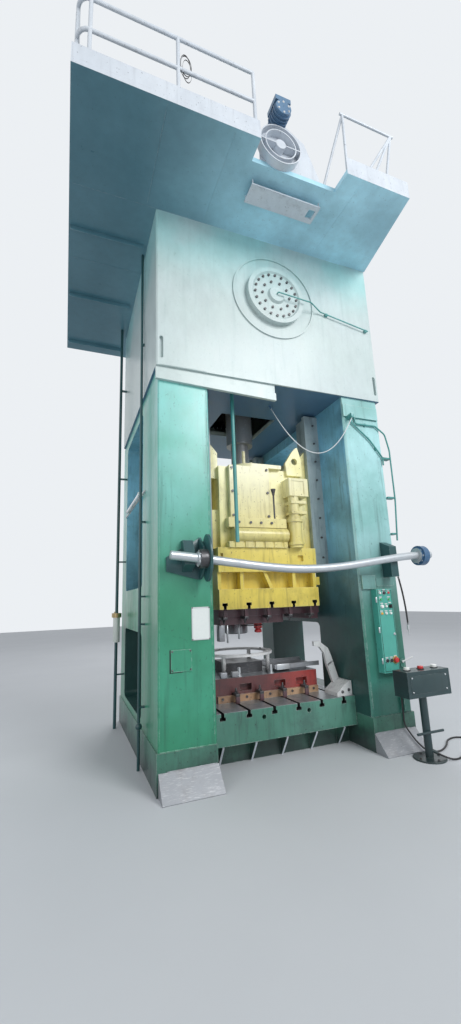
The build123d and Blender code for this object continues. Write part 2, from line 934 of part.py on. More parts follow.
# Motor on the crown, its pulley in line with the flywheel, and the belts between them
with BuildPart() as motor:
    round_y(
        motor_x, motor_height, motor_y - motor_length / 2, motor_y + motor_length / 2, motor_radius
    )
    round_y(
        motor_x, motor_height, motor_y - motor_length / 2 - motor_end, motor_y - motor_length / 2,
        motor_radius - motor_end,
    )
    box(
        motor_x - motor_foot_width / 2, motor_x + motor_foot_width / 2,
        motor_y - motor_foot_length / 2, motor_y + motor_foot_length / 2,
        crown_top, crown_top + motor_foot_rise,
    )
    box(
        motor_x + motor_box_inner, motor_x + motor_radius + motor_end,
        motor_y - motor_end, motor_y + motor_box_rear,
        motor_height - motor_end, motor_height + motor_box_top,
    )
    round_y(
        motor_x, motor_height, motor_y + motor_length / 2, flywheel_y + flywheel_face / 2,
        motor_shaft_radius, mode=Mode.SUBTRACT,
    )
motor.part.label = "motor"
export_step(motor.part, "parts/motor.step")

with BuildPart() as motor_pulley:
    round_y(
        motor_x, motor_height, flywheel_y - flywheel_face / 2, flywheel_y + flywheel_face / 2,
        pulley_radius,
    )
    round_y(
        motor_x, motor_height, motor_y + motor_length / 2 + flat_gap, flywheel_y,
        motor_shaft_radius,
    )
    for index in range(groove_count):
        groove_y = flywheel_y + (index - (groove_count - 1) / 2) * groove_pitch
        with BuildSketch(front_plane(groove_y + groove_width / 2)):
            with Locations((motor_x, motor_height)):
                Circle(pulley_radius)
                Circle(pulley_radius - groove_depth, mode=Mode.SUBTRACT)
        extrude(amount=groove_width, mode=Mode.SUBTRACT)
motor_pulley.part.label = "motor_pulley"
export_step(motor_pulley.part, "parts/motor_pulley.step")

with BuildPart() as drive_belts:
    for index in range(groove_count):
        belt_y = flywheel_y + (index - (groove_count - 1) / 2) * groove_pitch
        with BuildSketch(front_plane(belt_y + belt_width / 2)) as belt:
            for grow, mode in ((belt_thickness, Mode.ADD), (0, Mode.SUBTRACT)):
                with BuildSketch(front_plane(belt_y + belt_width / 2), mode=Mode.PRIVATE) as loop:
                    with Locations((motor_x, motor_height)):
                        Circle(pulley_radius - groove_depth + turn_gap + grow)
                    with Locations((pinion_side, drive_height)):
                        Circle(flywheel_radius - groove_depth + turn_gap + grow)
                    make_hull()
                add(loop.sketch_local, mode=mode)
        extrude(amount=belt_width)
drive_belts.part.label = "drive_belts"
export_step(drive_belts.part, "parts/drive_belts.step")

# Split eye on the crank pin, held together by four bolts
with BuildPart() as rod_eye:
    with BuildSketch(front_plane(rod_y + eye_thickness / 2)):
        with Locations((0, pin_height)):
            Circle(eye_half_width - bush_wall)
            Rectangle(2 * eye_bolt_reach + 2 * bush_wall, eye_half_width)
            Circle(pin_radius + turn_gap, mode=Mode.SUBTRACT)
    extrude(amount=eye_thickness)
    for bolt_x in (-eye_bolt_reach, eye_bolt_reach):
        for bolt_y in (rod_y - eye_thickness / 3, rod_y + eye_thickness / 3):
            post(
                bolt_x, bolt_y, pin_height - eye_half_width / 2 - eye_bolt_radius,
                pin_height + eye_half_width / 2 + eye_bolt_radius, eye_bolt_radius,
            )
rod_eye.part.label = "rod_eye"
export_step(rod_eye.part, "parts/rod_eye.step")

# Lower rod: screw in the slide, shank and the palm that faces the eye
with BuildPart() as lower_rod:
    post(0, rod_y, core_top, core_top + screw_collar_height, screw_collar_radius)
    post(0, rod_y, core_top + screw_collar_height, screw_top, screw_radius)
    post(0, rod_y, screw_top, rod_top - rod_palm_height, rod_shaft_radius)
    box(
        -rod_palm_width / 2, rod_palm_width / 2,
        rod_y - rod_palm_depth / 2, rod_y + rod_palm_depth / 2, rod_top - rod_palm_height, rod_top,
    )
    chamfer(lower_rod.edges().group_by(Axis.Z)[-1], screw_collar_height / 10)
lower_rod.part.label = "lower_rod"
export_step(lower_rod.part, "parts/lower_rod.step")

# Slide: T-slotted lower plate, recessed band with ribs, apron, core and guided wings
with BuildPart() as slide:
    box(-slide_half, slide_half, slide_front, slide_rear, slide_bottom, slide_shelf)
    box(
        -slide_half, slide_half, slide_front + recess_depth, slide_rear, slide_shelf, apron_bottom
    )
    box(-slide_half, slide_half, slide_front, slide_rear, apron_bottom, apron_top)
    box(-core_half, core_half, core_front, slide_rear, apron_top, core_top)
    for side in (-1, 1):
        with BuildSketch(front_plane(wing_rear)):
            with BuildLine():
                Polyline(
                    (side * wing_inner, apron_top),
                    (side * wing_outer, apron_top),
                    (side * wing_outer, wing_top),
                    (side * (wing_outer - wing_flat), wing_top),
                    (side * wing_inner, wing_top - wing_slope),
                    close=True,
                )
            make_face()
        extrude(amount=wing_rear - wing_front)
    box(
        -wing_window_outer, -core_half, wing_front, wing_front + wing_window_depth,
        wing_window_bottom, wing_window_top, mode=Mode.SUBTRACT,
    )
    for rib_left, rib_lean in recess_ribs:
        with BuildSketch(front_plane(slide_front + recess_depth)):
            with BuildLine():
                Polyline(
                    (rib_left, slide_shelf),
                    (rib_left + lug_thickness, slide_shelf),
                    (rib_left + lug_thickness + rib_lean, apron_bottom),
                    (rib_left + rib_lean, apron_bottom),
                    close=True,
                )
            make_face()
        extrude(amount=recess_depth - lug_thickness)
    # Lifting lug on the right of the core
    with BuildSketch(front_plane(core_front)):
        with BuildLine():
            Polyline(*lug_outline, close=True)
        make_face()
        with Locations(lug_eye[:2]):
            Circle(lug_eye[2], mode=Mode.SUBTRACT)
    extrude(amount=lug_thickness)
    # Sight hole, oil slot and the T-slots under the lower plate
    for hole_left, hole_right, hole_bottom, hole_top in apron_holes:
        box(
            hole_left, hole_right, slide_front, slide_front + lug_thickness,
            hole_bottom, hole_top, mode=Mode.SUBTRACT,
        )
    t_slots(slide_slots, slide_front, slide_rear - slide_front, slide_bottom, -1)
slide.part.label = "slide"
export_step(slide.part, "parts/slide.step")

# Gibs on the uprights' inner faces, each with a lip in front of or behind the slide's wing
gib_face = wing_outer + guide_gap
with BuildPart() as gibs:
    for side in (-1, 1):
        front = wing_front - guide_gap
        back = wing_rear + guide_gap
        for y0, y1, lip0, lip1 in (
            (front - gib_lip_depth, front + gib_depth, front - gib_lip_depth, front),
            (rear_gib_start, back + gib_lip_depth, back, back + gib_lip_depth),
        ):
            with BuildSketch(Plane.XY.offset(gib_bottom)):
                with Locations((side * (gib_face + opening_width / 2) / 2, (y0 + y1) / 2)):
                    Rectangle(opening_width / 2 - gib_face, y1 - y0)
                with Locations((side * (gib_face - gib_lip / 2), (lip0 + lip1) / 2)):
                    Rectangle(gib_lip, lip1 - lip0)
            extrude(amount=gib_top - gib_bottom)
gibs.part.label = "gibs"
export_step(gibs.part, "parts/gibs.step")

# Bolts of the gibs and of the crank cover
with BuildPart() as frame_bolts:
    with BuildSketch(front_plane(wing_front - guide_gap - gib_lip_depth)):
        with Locations((0, (gib_bottom + gib_top) / 2)):
            with GridLocations(
                gib_face + opening_width / 2, (gib_top - gib_bottom) / gib_bolt_count,
                2, gib_bolt_count,
            ):
                RegularPolygon(gib_bolt_radius, 6)
    extrude(amount=gib_bolt_height)
    with BuildSketch(front_plane(cover_face)):
        with Locations((0, crank_height)):
            with PolarLocations(outer_bolt_circle, outer_bolts):
                RegularPolygon(cover_bolt_size, 6)
            with PolarLocations(inner_bolt_circle, inner_bolts):
                RegularPolygon(cover_bolt_size, 6)
    extrude(amount=cover_bolt_height)
frame_bolts.part.label = "frame_bolts"
export_step(frame_bolts.part, "parts/frame_bolts.step")

# Bolster with T-slots, a scrap hole in its middle and lifting holes in its front
with BuildPart() as bolster:
    box(
        bolster_side_gap - opening_width / 2, opening_width / 2 - bolster_side_gap,
        bolster_front, bolster_rear, bolster_bottom, bolster_top,
    )
    chamfer(bolster.edges().filter_by(Axis.X).group_by(Axis.Z)[-1], bolster_side_gap)
    box(
        -drop_width / 2, drop_width / 2, -drop_depth / 2, drop_depth / 2,
        bolster_bottom, bolster_top, mode=Mode.SUBTRACT,
    )
    t_slots(bolster_slots, bolster_front, bolster_rear - bolster_front, bolster_top, 1)
    for side in (-1, 1):
        round_y(
            side * lift_hole_spacing / 2, bolster_top - lift_hole_drop,
            bolster_front, bolster_front + lift_hole_depth, lift_hole_radius, mode=Mode.SUBTRACT,
        )
bolster.part.label = "bolster"
export_step(bolster.part, "parts/bolster.step")

# Adjusting gear's housing: the body panel, the worm cover and its two flanges
with BuildPart() as worm_housing:
    box(housing_left, housing_right, housing_front, core_front, housing_bottom, core_top)
    box(
        flange_left, flange_right, slide_front - flange_thickness, core_front,
        lower_flange_bottom, lower_flange_top,
    )
    box(
        flange_left, flange_right, slide_front - flange_thickness, core_front,
        upper_flange_bottom, upper_flange_top,
    )
    box(
        worm_left + flange_thickness, worm_right - flange_thickness, slide_front, core_front,
        lower_flange_top, upper_flange_bottom,
    )
    round_x(slide_front, worm_height, worm_left, worm_right, worm_radius - flange_thickness / 2)
    box(
        worm_left, worm_right, core_front, core_front + worm_radius,
        lower_flange_bottom, upper_flange_top, mode=Mode.SUBTRACT,
    )
    for index in range(flange_notches):
        notch_x = flange_left + (index + 0.5) * (flange_right - flange_left) / flange_notches
        post(
            notch_x, slide_front - flange_thickness, lower_flange_bottom, lower_flange_top,
            flange_thickness / 2, mode=Mode.SUBTRACT,
        )
worm_housing.part.label = "worm_housing"
export_step(worm_housing.part, "parts/worm_housing.step")

# Bolts of the housing and the oil funnel on its pipe
with BuildPart() as housing_fittings:
    with BuildSketch(front_plane(slide_front - flange_thickness)):
        for bolt_x in flange_bolt_x:
            with Locations((bolt_x, (upper_flange_bottom + upper_flange_top) / 2)):
                RegularPolygon(cover_bolt_size, 6)
    extrude(amount=cover_bolt_height)
    with BuildSketch(front_plane(housing_front)):
        with Locations(((housing_left + housing_right) / 2, (housing_bottom + core_top) / 2)):
            with GridLocations(
                housing_right - housing_left - 2 * flange_thickness,
                (core_top - housing_bottom) / 2 - flange_thickness, 2, 3,
            ):
                RegularPolygon(cover_bolt_size, 6)
    extrude(amount=cover_bolt_height)
    post(funnel_x, funnel_y, upper_flange_top, funnel_neck, stud_radius / 2)
    with Locations((funnel_x, funnel_y, (funnel_neck + funnel_top) / 2)):
        Cone(stud_radius / 2, stud_radius * 1.5, funnel_top - funnel_neck)
housing_fittings.part.label = "housing_fittings"
export_step(housing_fittings.part, "parts/housing_fittings.step")

# Balance flange on the slide's top, with an ear and two studs
with BuildPart() as top_flange:
    post(disc_x, disc_y, core_top, core_top + disc_thickness, disc_radius)
    box(
        disc_x, disc_x + disc_radius + disc_ear,
        disc_y - disc_radius, disc_y - disc_radius / 2, core_top, core_top + disc_thickness,
    )
    post(disc_x - stud_radius, disc_y, core_top + disc_thickness, stud_top, stud_radius)
    post(
        disc_x + stud_radius, disc_y - disc_radius / 2, core_top + disc_thickness,
        core_top + 2 * disc_thickness, stud_radius,
    )
top_flange.part.label = "top_flange"
export_step(top_flange.part, "parts/top_flange.step")

# Adjusting motor stack on the right of the slide's front, on two mounting plates
with BuildPart() as adjuster:
    post(gearbox_x, gearbox_y, apron_top, gearbox_top, gearbox_radius)
    post(
        gearbox_x, gearbox_y, gearbox_top, adjuster_box_bottom, gearbox_radius - mount_plate / 2
    )
    for plate_z in (lower_mount_z, upper_mount_z):
        box(
            mount_left, mount_right, adjuster_box_front, core_front, plate_z, plate_z + mount_plate
        )
    box(
        adjuster_box_left, adjuster_box_right, adjuster_box_front, core_front,
        adjuster_box_bottom, adjuster_box_top,
    )
    chamfer(adjuster.edges().filter_by(Axis.Z).group_by(Axis.Y)[0], mount_plate / 4)
    box(
        adjuster_box_left + mount_plate, adjuster_box_right - 2 * mount_plate,
        adjuster_box_front, adjuster_box_front + mount_plate / 4,
        adjuster_box_bottom + mount_plate, adjuster_box_top - mount_plate, mode=Mode.SUBTRACT,
    )
    for rib_z in (apron_top + mount_plate, gearbox_top - 2 * mount_plate):
        post(gearbox_x, gearbox_y, rib_z, rib_z + mount_plate, gearbox_radius + mount_plate / 2)
adjuster.part.label = "adjuster"
export_step(adjuster.part, "parts/adjuster.step")

# Upper trim tool: die shoe under the slide with a stepped die and the punch
with BuildPart() as upper_tool:
    box(
        upper_shoe_left, upper_shoe_right, tool_front, tool_rear, upper_plate_bottom, slide_bottom
    )
    box(
        upper_shoe_left + tool_step, ring_x + ring_radius + tool_step, tool_front + tool_step,
        tool_rear - tool_step, upper_shoe_bottom, upper_plate_bottom,
    )
    box(
        upper_shoe_right - 2 * ring_width, upper_shoe_right - tool_step, tool_front,
        tool_rear - tool_step, upper_shoe_bottom + tool_step, upper_plate_bottom,
    )
    post(ring_x, ring_y, punch_bottom, upper_shoe_bottom, punch_radius)
    chamfer(upper_tool.edges().group_by(Axis.Z)[0], tool_step / 2)
upper_tool.part.label = "upper_tool"
export_step(upper_tool.part, "parts/upper_tool.step")

# Lower trim tool: die shoe with a front strip, box, posts and the ring that holds the work
with BuildPart() as lower_shoe:
    box(lower_shoe_left, lower_shoe_right, tool_front, tool_rear, bolster_top, lower_shoe_top)
    for window_x in (-slot_pitch, slot_pitch / 2, 1.5 * slot_pitch):
        box(
            window_x - ring_width, window_x + ring_width, tool_front, tool_front + ring_width,
            lower_shoe_top - 2 * ring_width, lower_shoe_top - ring_width, mode=Mode.SUBTRACT,
        )
    box(
        lower_shoe_left + tool_step, lower_shoe_right, tool_front - tool_step, tool_front,
        bolster_top, bolster_top + ring_width,
    )
lower_shoe.part.label = "lower_shoe"
export_step(lower_shoe.part, "parts/lower_shoe.step")

with BuildPart() as ring_stand:
    box(
        ring_x - ring_box / 2, ring_x + ring_box / 2, ring_y - ring_box / 2, ring_y + ring_box / 2,
        lower_shoe_top, ring_box_top,
    )
    with Locations((ring_x, ring_y, (lower_shoe_top + ring_bottom) / 2)):
        with PolarLocations(ring_radius - ring_width / 2, 4, start_angle=45):
            Cylinder(ring_post_radius, ring_bottom - lower_shoe_top)
    with BuildSketch(Plane.XY.offset(ring_bottom)):
        with Locations((ring_x, ring_y)):
            Circle(ring_radius)
            Circle(ring_radius - ring_width, mode=Mode.SUBTRACT)
    extrude(amount=ring_thickness)
ring_stand.part.label = "ring_stand"
export_step(ring_stand.part, "parts/ring_stand.step")

# Flash tray beside the ring, folded up at its front and back, on a foot
with BuildPart() as flash_tray:
    box(tray_left, tray_right, tray_front, tray_back, tray_bottom, tray_bottom + tray_thickness / 2)
    for lip_y in (tray_front, tray_back - tray_thickness / 2):
        box(
            tray_left, tray_right, lip_y, lip_y + tray_thickness / 2,
            tray_bottom, tray_bottom + 2 * tray_thickness,
        )
    box(
        tray_left + ring_box / 2, tray_left + ring_box, tray_front + ring_width,
        tray_back - ring_width, lower_shoe_top, tray_bottom,
    )
flash_tray.part.label = "flash_tray"
export_step(flash_tray.part, "parts/flash_tray.step")

# White gauge stand on the bolster's right end: a wedge plate and a leaning slotted arm
with BuildPart() as gauge_stand:
    with BuildSketch(front_plane(gauge_back)):
        with BuildLine():
            Polyline(*gauge_base, close=True)
        make_face()
    extrude(amount=gauge_back - gauge_front)
    with BuildSketch(front_plane(gauge_back)):
        with BuildLine():
            Polyline(*gauge_arm, close=True)
        make_face()
        with Locations(gauge_slot):
            SlotOverall(
                gauge_slot_length, gauge_slot_width, rotation=gauge_slot_lean, mode=Mode.SUBTRACT
            )
    extrude(amount=gauge_thickness)
gauge_stand.part.label = "gauge_stand"
export_step(gauge_stand.part, "parts/gauge_stand.step")

# Service deck: front, left and rear walkways round the crown, with a notch at the front
with BuildPart() as deck:
    with BuildSketch(Plane.XY.offset(deck_bottom)):
        with BuildLine():
            Polyline(
                (-deck_left, deck_front),
                (notch_left, deck_front),
                (notch_left, deck_front + notch_depth),
                (notch_right, deck_front + notch_depth),
                (notch_right, deck_front),
                (deck_right_front, deck_front),
                (crown_half, crown_front),
                (-crown_half, crown_front),
                (-crown_half, crown_rear),
                (-deck_inner_end, crown_rear),
                (-deck_inner_end, deck_rear),
                (-deck_left, deck_rear),
                close=True,
            )
        make_face()
    extrude(amount=deck_thickness)
deck.part.label = "deck"
export_step(deck.part, "parts/deck.step")

# Toe boards that stand on the deck's outer edges
with BuildPart() as toe_boards:
    toe_top = deck_top + toe_height
    toe_corner = toe_thickness + flat_gap - deck_left
    box(toe_corner, -deck_inner_end, deck_rear - toe_thickness, deck_rear, deck_top, toe_top)
    box(-deck_left, toe_thickness - deck_left, deck_front, deck_rear, deck_top, toe_top)
    box(toe_corner, notch_left, deck_front, deck_front + toe_thickness, deck_top, toe_top)
    box(notch_right, deck_right_front, deck_front, deck_front + toe_thickness, deck_top, toe_top)
    with BuildSketch(Plane.XY.offset(deck_top)):
        with BuildLine():
            Polyline(
                (deck_right_front, deck_front),
                (crown_half, crown_front),
                (crown_half - toe_thickness, crown_front),
                (deck_right_front - toe_thickness, deck_front),
                close=True,
            )
        make_face()
    extrude(amount=toe_height)
toe_boards.part.label = "toe_boards"
export_step(toe_boards.part, "parts/toe_boards.step")

# Handrails: posts, a top rail and a middle rail round the left part of the deck
rail_left = rail_inset - deck_left
rail_front = deck_front + rail_inset
rail_rear = deck_rear - rail_inset
with BuildPart() as handrails:
    for rail_z in (rail_middle, rail_top):
        tube(
            [
                (-deck_inner_end - rail_inset, rail_rear, rail_z),
                (rail_left, rail_rear, rail_z),
                (rail_left, rail_front, rail_z),
                (notch_left - rail_inset, rail_front, rail_z),
            ],
            rail_bend, rail_radius,
        )
    for index in range(rail_side_posts):
        post_y = rail_front + rail_bend
        post_y += index * (rail_rear - rail_front - 2 * rail_bend) / (rail_side_posts - 1)
        post(rail_left, post_y, deck_top, rail_top, rail_radius)
    for index in range(rail_front_posts):
        start = rail_left + rail_bend
        post_x = start + index * (notch_left - rail_inset - start) / (rail_front_posts - 1)
        post(post_x, rail_front, deck_top, rail_top, rail_radius)
    for post_x in (rail_left + rail_bend, -deck_inner_end - rail_inset):
        post(post_x, rail_rear, deck_top, rail_top, rail_radius)
    # The bends are fittings of their own, a flat gap from the straight rails
    bend_end = rail_bend - 2 * rail_radius
    bend_low = rail_middle - 2 * rail_radius
    bend_high = rail_top + 2 * rail_radius
    for corner_y, inward in ((rail_front, 1), (rail_rear, -1)):
        cut_x = rail_left + bend_end
        cut_y = corner_y + inward * bend_end
        box(
            cut_x, cut_x + flat_gap, corner_y - 2 * rail_radius, corner_y + 2 * rail_radius,
            bend_low, bend_high, mode=Mode.SUBTRACT,
        )
        box(
            rail_left - 2 * rail_radius, rail_left + 2 * rail_radius, cut_y, cut_y + flat_gap,
            bend_low, bend_high, mode=Mode.SUBTRACT,
        )
    # Braced rail on the right: stays that meet in two peaks under a thin top rail
    for feet, peak_x in braced_stays:
        for foot_x, foot_back in feet:
            stay(
                (foot_x, rail_front + foot_back, deck_top), (peak_x, rail_front, rail_top),
                stay_radius,
            )
    stay(
        (braced_stays[0][1] - rail_inset, rail_front, rail_top),
        (braced_stays[1][1] + rail_inset, rail_front, rail_top), stay_radius,
    )
    box(
        notch_left, deck_right_front, deck_front, crown_front,
        deck_top - rail_inset, deck_top, mode=Mode.SUBTRACT,
    )
    box(
        deck_right_front - 4 * rail_inset, deck_right_front - 2 * rail_inset,
        rail_front, rail_front + 2 * rail_inset, deck_top, deck_top + toe_height,
    )
handrails.part.label = "handrails"
export_step(handrails.part, "parts/handrails.step")

# Brake unit in the deck's notch: a sheet guard, a half-open wheel and a shelf below it
with BuildPart() as brake_guard:
    with BuildSketch(front_plane(guard_y)):
        with BuildLine():
            Polyline(*[(x, deck_top + rise) for x, rise in guard_outline], close=True)
        make_face()
    extrude(amount=guard_sheet)
    box(
        guard_outline[0][0], guard_outline[1][0], guard_y - guard_sheet, guard_y + guard_foot,
        deck_top, deck_top + guard_sheet,
    )
    box(
        shelf_left, shelf_right, shelf_front, shelf_back,
        deck_bottom - shelf_drop - shelf_thickness, deck_bottom - shelf_drop,
    )
    box(
        shelf_right - shelf_slot, shelf_right - 2 * shelf_thickness, shelf_front + shelf_slot / 2,
        shelf_back - shelf_slot / 2, deck_bottom - shelf_drop - shelf_thickness,
        deck_bottom - shelf_drop, mode=Mode.SUBTRACT,
    )
    for rod_x in (shelf_left + shelf_thickness, shelf_right - shelf_thickness):
        for rod_depth in (shelf_front + shelf_thickness, shelf_back - shelf_thickness):
            post(rod_x, rod_depth, deck_bottom - shelf_drop, deck_bottom, shelf_thickness / 2)
brake_guard.part.label = "brake_guard"
export_step(brake_guard.part, "parts/brake_guard.step")

with BuildPart() as brake_wheel:
    with BuildSketch(front_plane(guard_y - guard_sheet - flat_gap)):
        with Locations((brake_x, brake_z)):
            Circle(brake_wheel_radius)
            Circle(brake_wheel_radius - guard_sheet, mode=Mode.SUBTRACT)
            Circle(brake_wheel_radius - brake_wheel_rim)
            Circle(brake_wheel_radius - brake_wheel_rim - guard_sheet, mode=Mode.SUBTRACT)
            Rectangle(2 * brake_wheel_radius, guard_sheet)
    extrude(amount=brake_wheel_width)
    with BuildSketch(front_plane(guard_y - guard_sheet - flat_gap)):
        with Locations((brake_x, brake_z)):
            Circle(brake_wheel_radius)
    extrude(amount=guard_sheet)
    round_y(
        brake_x, brake_z, guard_y - guard_sheet - flat_gap - brake_wheel_width,
        guard_y - guard_sheet - flat_gap, brake_wheel_rim,
    )
brake_wheel.part.label = "brake_wheel"
export_step(brake_wheel.part, "parts/brake_wheel.step")

with BuildPart() as brake_motor:
    round_y(
        brake_x, brake_motor_z, guard_y - guard_sheet - brake_motor_length, guard_y - guard_sheet,
        brake_motor_radius,
    )
    for fin in range(fin_count):
        fin_y = guard_y - guard_sheet - brake_motor_length * (fin + 1) / (fin_count + 1)
        round_y(
            brake_x, brake_motor_z, fin_y, fin_y + guard_sheet, brake_motor_radius + guard_sheet
        )
    box(
        brake_x - brake_motor_radius, brake_x + brake_motor_radius,
        guard_y - guard_sheet - brake_motor_length, guard_y - guard_sheet,
        brake_motor_z + brake_motor_radius - guard_sheet,
        brake_motor_z + brake_motor_radius + 4 * guard_sheet,
    )
brake_motor.part.label = "brake_motor"
export_step(brake_motor.part, "parts/brake_motor.step")

# Sloping steel covers at the feet of the uprights
with BuildPart() as foot_covers:
    for side in (-1, 1):
        with BuildSketch(Plane.YZ.offset(side * leg_centre - leg_width / 2)):
            with BuildLine():
                Polyline(
                    (front_face - base_lip, 0),
                    (front_face - base_lip, cover_slope_top),
                    (front_face - base_lip - cover_sheet, cover_slope_top),
                    (front_face - base_lip - cover_reach, cover_sheet),
                    (front_face - base_lip - cover_reach, 0),
                    close=True,
                )
            make_face()
        extrude(amount=leg_width)
foot_covers.part.label = "foot_covers"
export_step(foot_covers.part, "parts/foot_covers.step")

# Bent bar across the front, with a collar at each end, carried by a bracket on each upright
with BuildPart() as front_bar:
    with BuildLine() as bar_path:
        Spline(*[(x, bar_y, z) for x, z in bar_line])
    with BuildSketch(Plane(origin=bar_path.line @ 0, z_dir=bar_path.line % 0)) as bar_section:
        Circle(bar_radius)
    sweep(sections=bar_section.sketch, path=bar_path.line)
    for collar_x, collar_z, collar_radius in (
        (left_collar_x, left_collar_z, left_collar_radius),
        (right_collar_x, right_collar_z, right_collar_radius),
    ):
        round_x(
            bar_y, collar_z, collar_x - collar_width / 2, collar_x + collar_width / 2,
            collar_radius,
        )
        round_x(
            bar_y, collar_z, collar_x - 0.75 * collar_width, collar_x + 0.75 * collar_width,
            collar_radius - collar_width / 3,
        )
front_bar.part.label = "front_bar"
export_step(front_bar.part, "parts/front_bar.step")

with BuildPart() as bar_brackets:
    for bracket_x, profile in bracket_profiles:
        with BuildSketch(Plane.YZ.offset(bracket_x - bracket_width / 2)):
            with BuildLine():
                Polyline(*profile, close=True)
            make_face()
        extrude(amount=bracket_width)
bar_brackets.part.label = "bar_brackets"
export_step(bar_brackets.part, "parts/bar_brackets.step")

# Control panel on the right upright: a shallow cabinet with lamps; its buttons move
panel_front = front_face - panel_depth
with BuildPart() as control_panel:
    box(
        panel_left, panel_left + panel_width, panel_front, front_face,
        panel_bottom, panel_bottom + panel_height,
    )
    fillet(control_panel.edges().filter_by(Axis.Z).group_by(Axis.Y)[0], panel_edge)
    with BuildSketch(front_plane(panel_front + panel_depth / 2)) as sockets:
        for spot_x, spot_z in button_spots.values():
            with Locations((spot_x, spot_z)):
                Circle(button_radius + turn_gap)
        with Locations(stop_spot):
            Circle(button_radius + turn_gap)
        with Locations(selector_spot):
            Circle(selector_radius / 2 + turn_gap)
    extrude(sockets.sketch, amount=panel_depth, mode=Mode.SUBTRACT)
control_panel.part.label = "control_panel"
export_step(control_panel.part, "parts/control_panel.step")

with BuildPart() as panel_lamps:
    with BuildSketch(front_plane(panel_front)):
        for spot_x, spot_z in lamp_spots:
            with Locations((spot_x, spot_z)):
                Circle(lamp_radius)
    extrude(amount=button_height)
    fillet(panel_lamps.edges().group_by(Axis.Y)[0], lamp_radius / 3)
panel_lamps.part.label = "panel_lamps"
export_step(panel_lamps.part, "parts/panel_lamps.step")

for name, (spot_x, spot_z) in button_spots.items():
    with BuildPart() as button:
        round_y(
            spot_x, spot_z, panel_front - button_height,
            panel_front + panel_depth / 2 - button_stroke - turn_gap, button_radius,
        )
        fillet(button.edges().group_by(Axis.Y)[0], button_height / 6)
    button.part.label = name
    export_step(button.part, f"parts/{name}.step")

with BuildPart() as stop_button:
    round_y(
        *stop_spot, panel_front - button_height,
        panel_front + panel_depth / 2 - button_stroke - turn_gap, button_radius,
    )
    round_y(
        *stop_spot, panel_front - 2 * button_height, panel_front - button_stroke - 2 * turn_gap,
        stop_radius,
    )
    fillet(stop_button.edges().group_by(Axis.Y)[0], button_height / 3)
stop_button.part.label = "stop_button"
export_step(stop_button.part, "parts/stop_button.step")

with BuildPart() as mode_selector:
    round_y(
        *selector_spot, panel_front - flat_gap, panel_front + panel_depth / 2 - button_stroke,
        selector_radius / 2,
    )
    round_y(
        *selector_spot, panel_front - button_height, panel_front - flat_gap, selector_radius
    )
    box(
        selector_spot[0] - button_height / 3, selector_spot[0] + button_height / 3,
        panel_front - 2 * button_height, panel_front - button_height,
        selector_spot[1] - selector_radius, selector_spot[1] + selector_radius,
    )
mode_selector.part.label = "mode_selector"
export_step(mode_selector.part, "parts/mode_selector.step")

# Fittings on the uprights' fronts: the conduit with its clips, the isolator's box, a cable duct, a
# sensor box and the notice plate, which is left without any marks
conduit_x, conduit_y, conduit_end = cable_route[0]
with BuildPart() as column_fittings:
    post(conduit_x, conduit_y, conduit_end, conduit_top, conduit_radius)
    for clip_z in conduit_clips:
        box(
            conduit_x - clip_half, conduit_x + clip_half, conduit_y, front_face,
            clip_z, clip_z + clip_half,
        )
    box(
        isolator_x - isolator_size / 2, isolator_x + isolator_size / 2,
        front_face - isolator_size / 2, front_face,
        isolator_z - isolator_size, isolator_z + isolator_size / 2,
    )
    for left, right, bottom, top, depth in plate_places:
        box(left, right, front_face - depth, front_face, bottom, top)
    # Pad and skirt at the right upright's head, with the two conduits that leave it
    box(opening_width / 2, pad_right, front_face - pad_depth, front_face, pad_bottom, pad_top)
    box(opening_width / 2, pad_right, front_face - pad_skirt, front_face, pad_top, crown_bottom)
    for places, bends in ((edge_conduit, edge_conduit_bends), (cross_conduit, cross_conduit_bends)):
        tube([(x, upright_conduit_y, z) for x, z in places], bends, upright_conduit_radius)
    for clip_x, clip_z in conduit_clip_places:
        box(
            clip_x - clip_half / 2, clip_x + clip_half / 2, upright_conduit_y, front_face,
            clip_z - clip_half, clip_z + clip_half,
        )
    for clip_end, clip_z in edge_clips:
        box(
            frame_half, clip_end, upright_conduit_y, front_face + 3 * clip_half,
            clip_z, clip_z + clip_half,
        )
    # Holder of the hanging cable's end
    gland(white_route[::-1], clip_half)
    holder_x, holder_y, holder_z = white_route[-1]
    box(
        holder_x - clip_half, holder_x + clip_half, holder_y - clip_half, front_face,
        holder_z + clip_half / 2, holder_z + 3 * clip_half,
    )
column_fittings.part.label = "column_fittings"
export_step(column_fittings.part, "parts/column_fittings.step")

isolator_front = front_face - isolator_size / 2
with BuildPart() as isolator_lever:
    round_y(
        isolator_x, isolator_z, isolator_front - isolator_size / 4, isolator_front - flat_gap,
        isolator_size / 4,
    )
    stay(
        (isolator_x, isolator_front - isolator_size / 6, isolator_z),
        (isolator_x + lever_reach, isolator_front - isolator_size / 6, isolator_z + lever_reach / 4),
        lever_radius,
    )
isolator_lever.part.label = "isolator_lever"
export_step(isolator_lever.part, "parts/isolator_lever.step")

head_front = pedestal_y - head_depth / 2

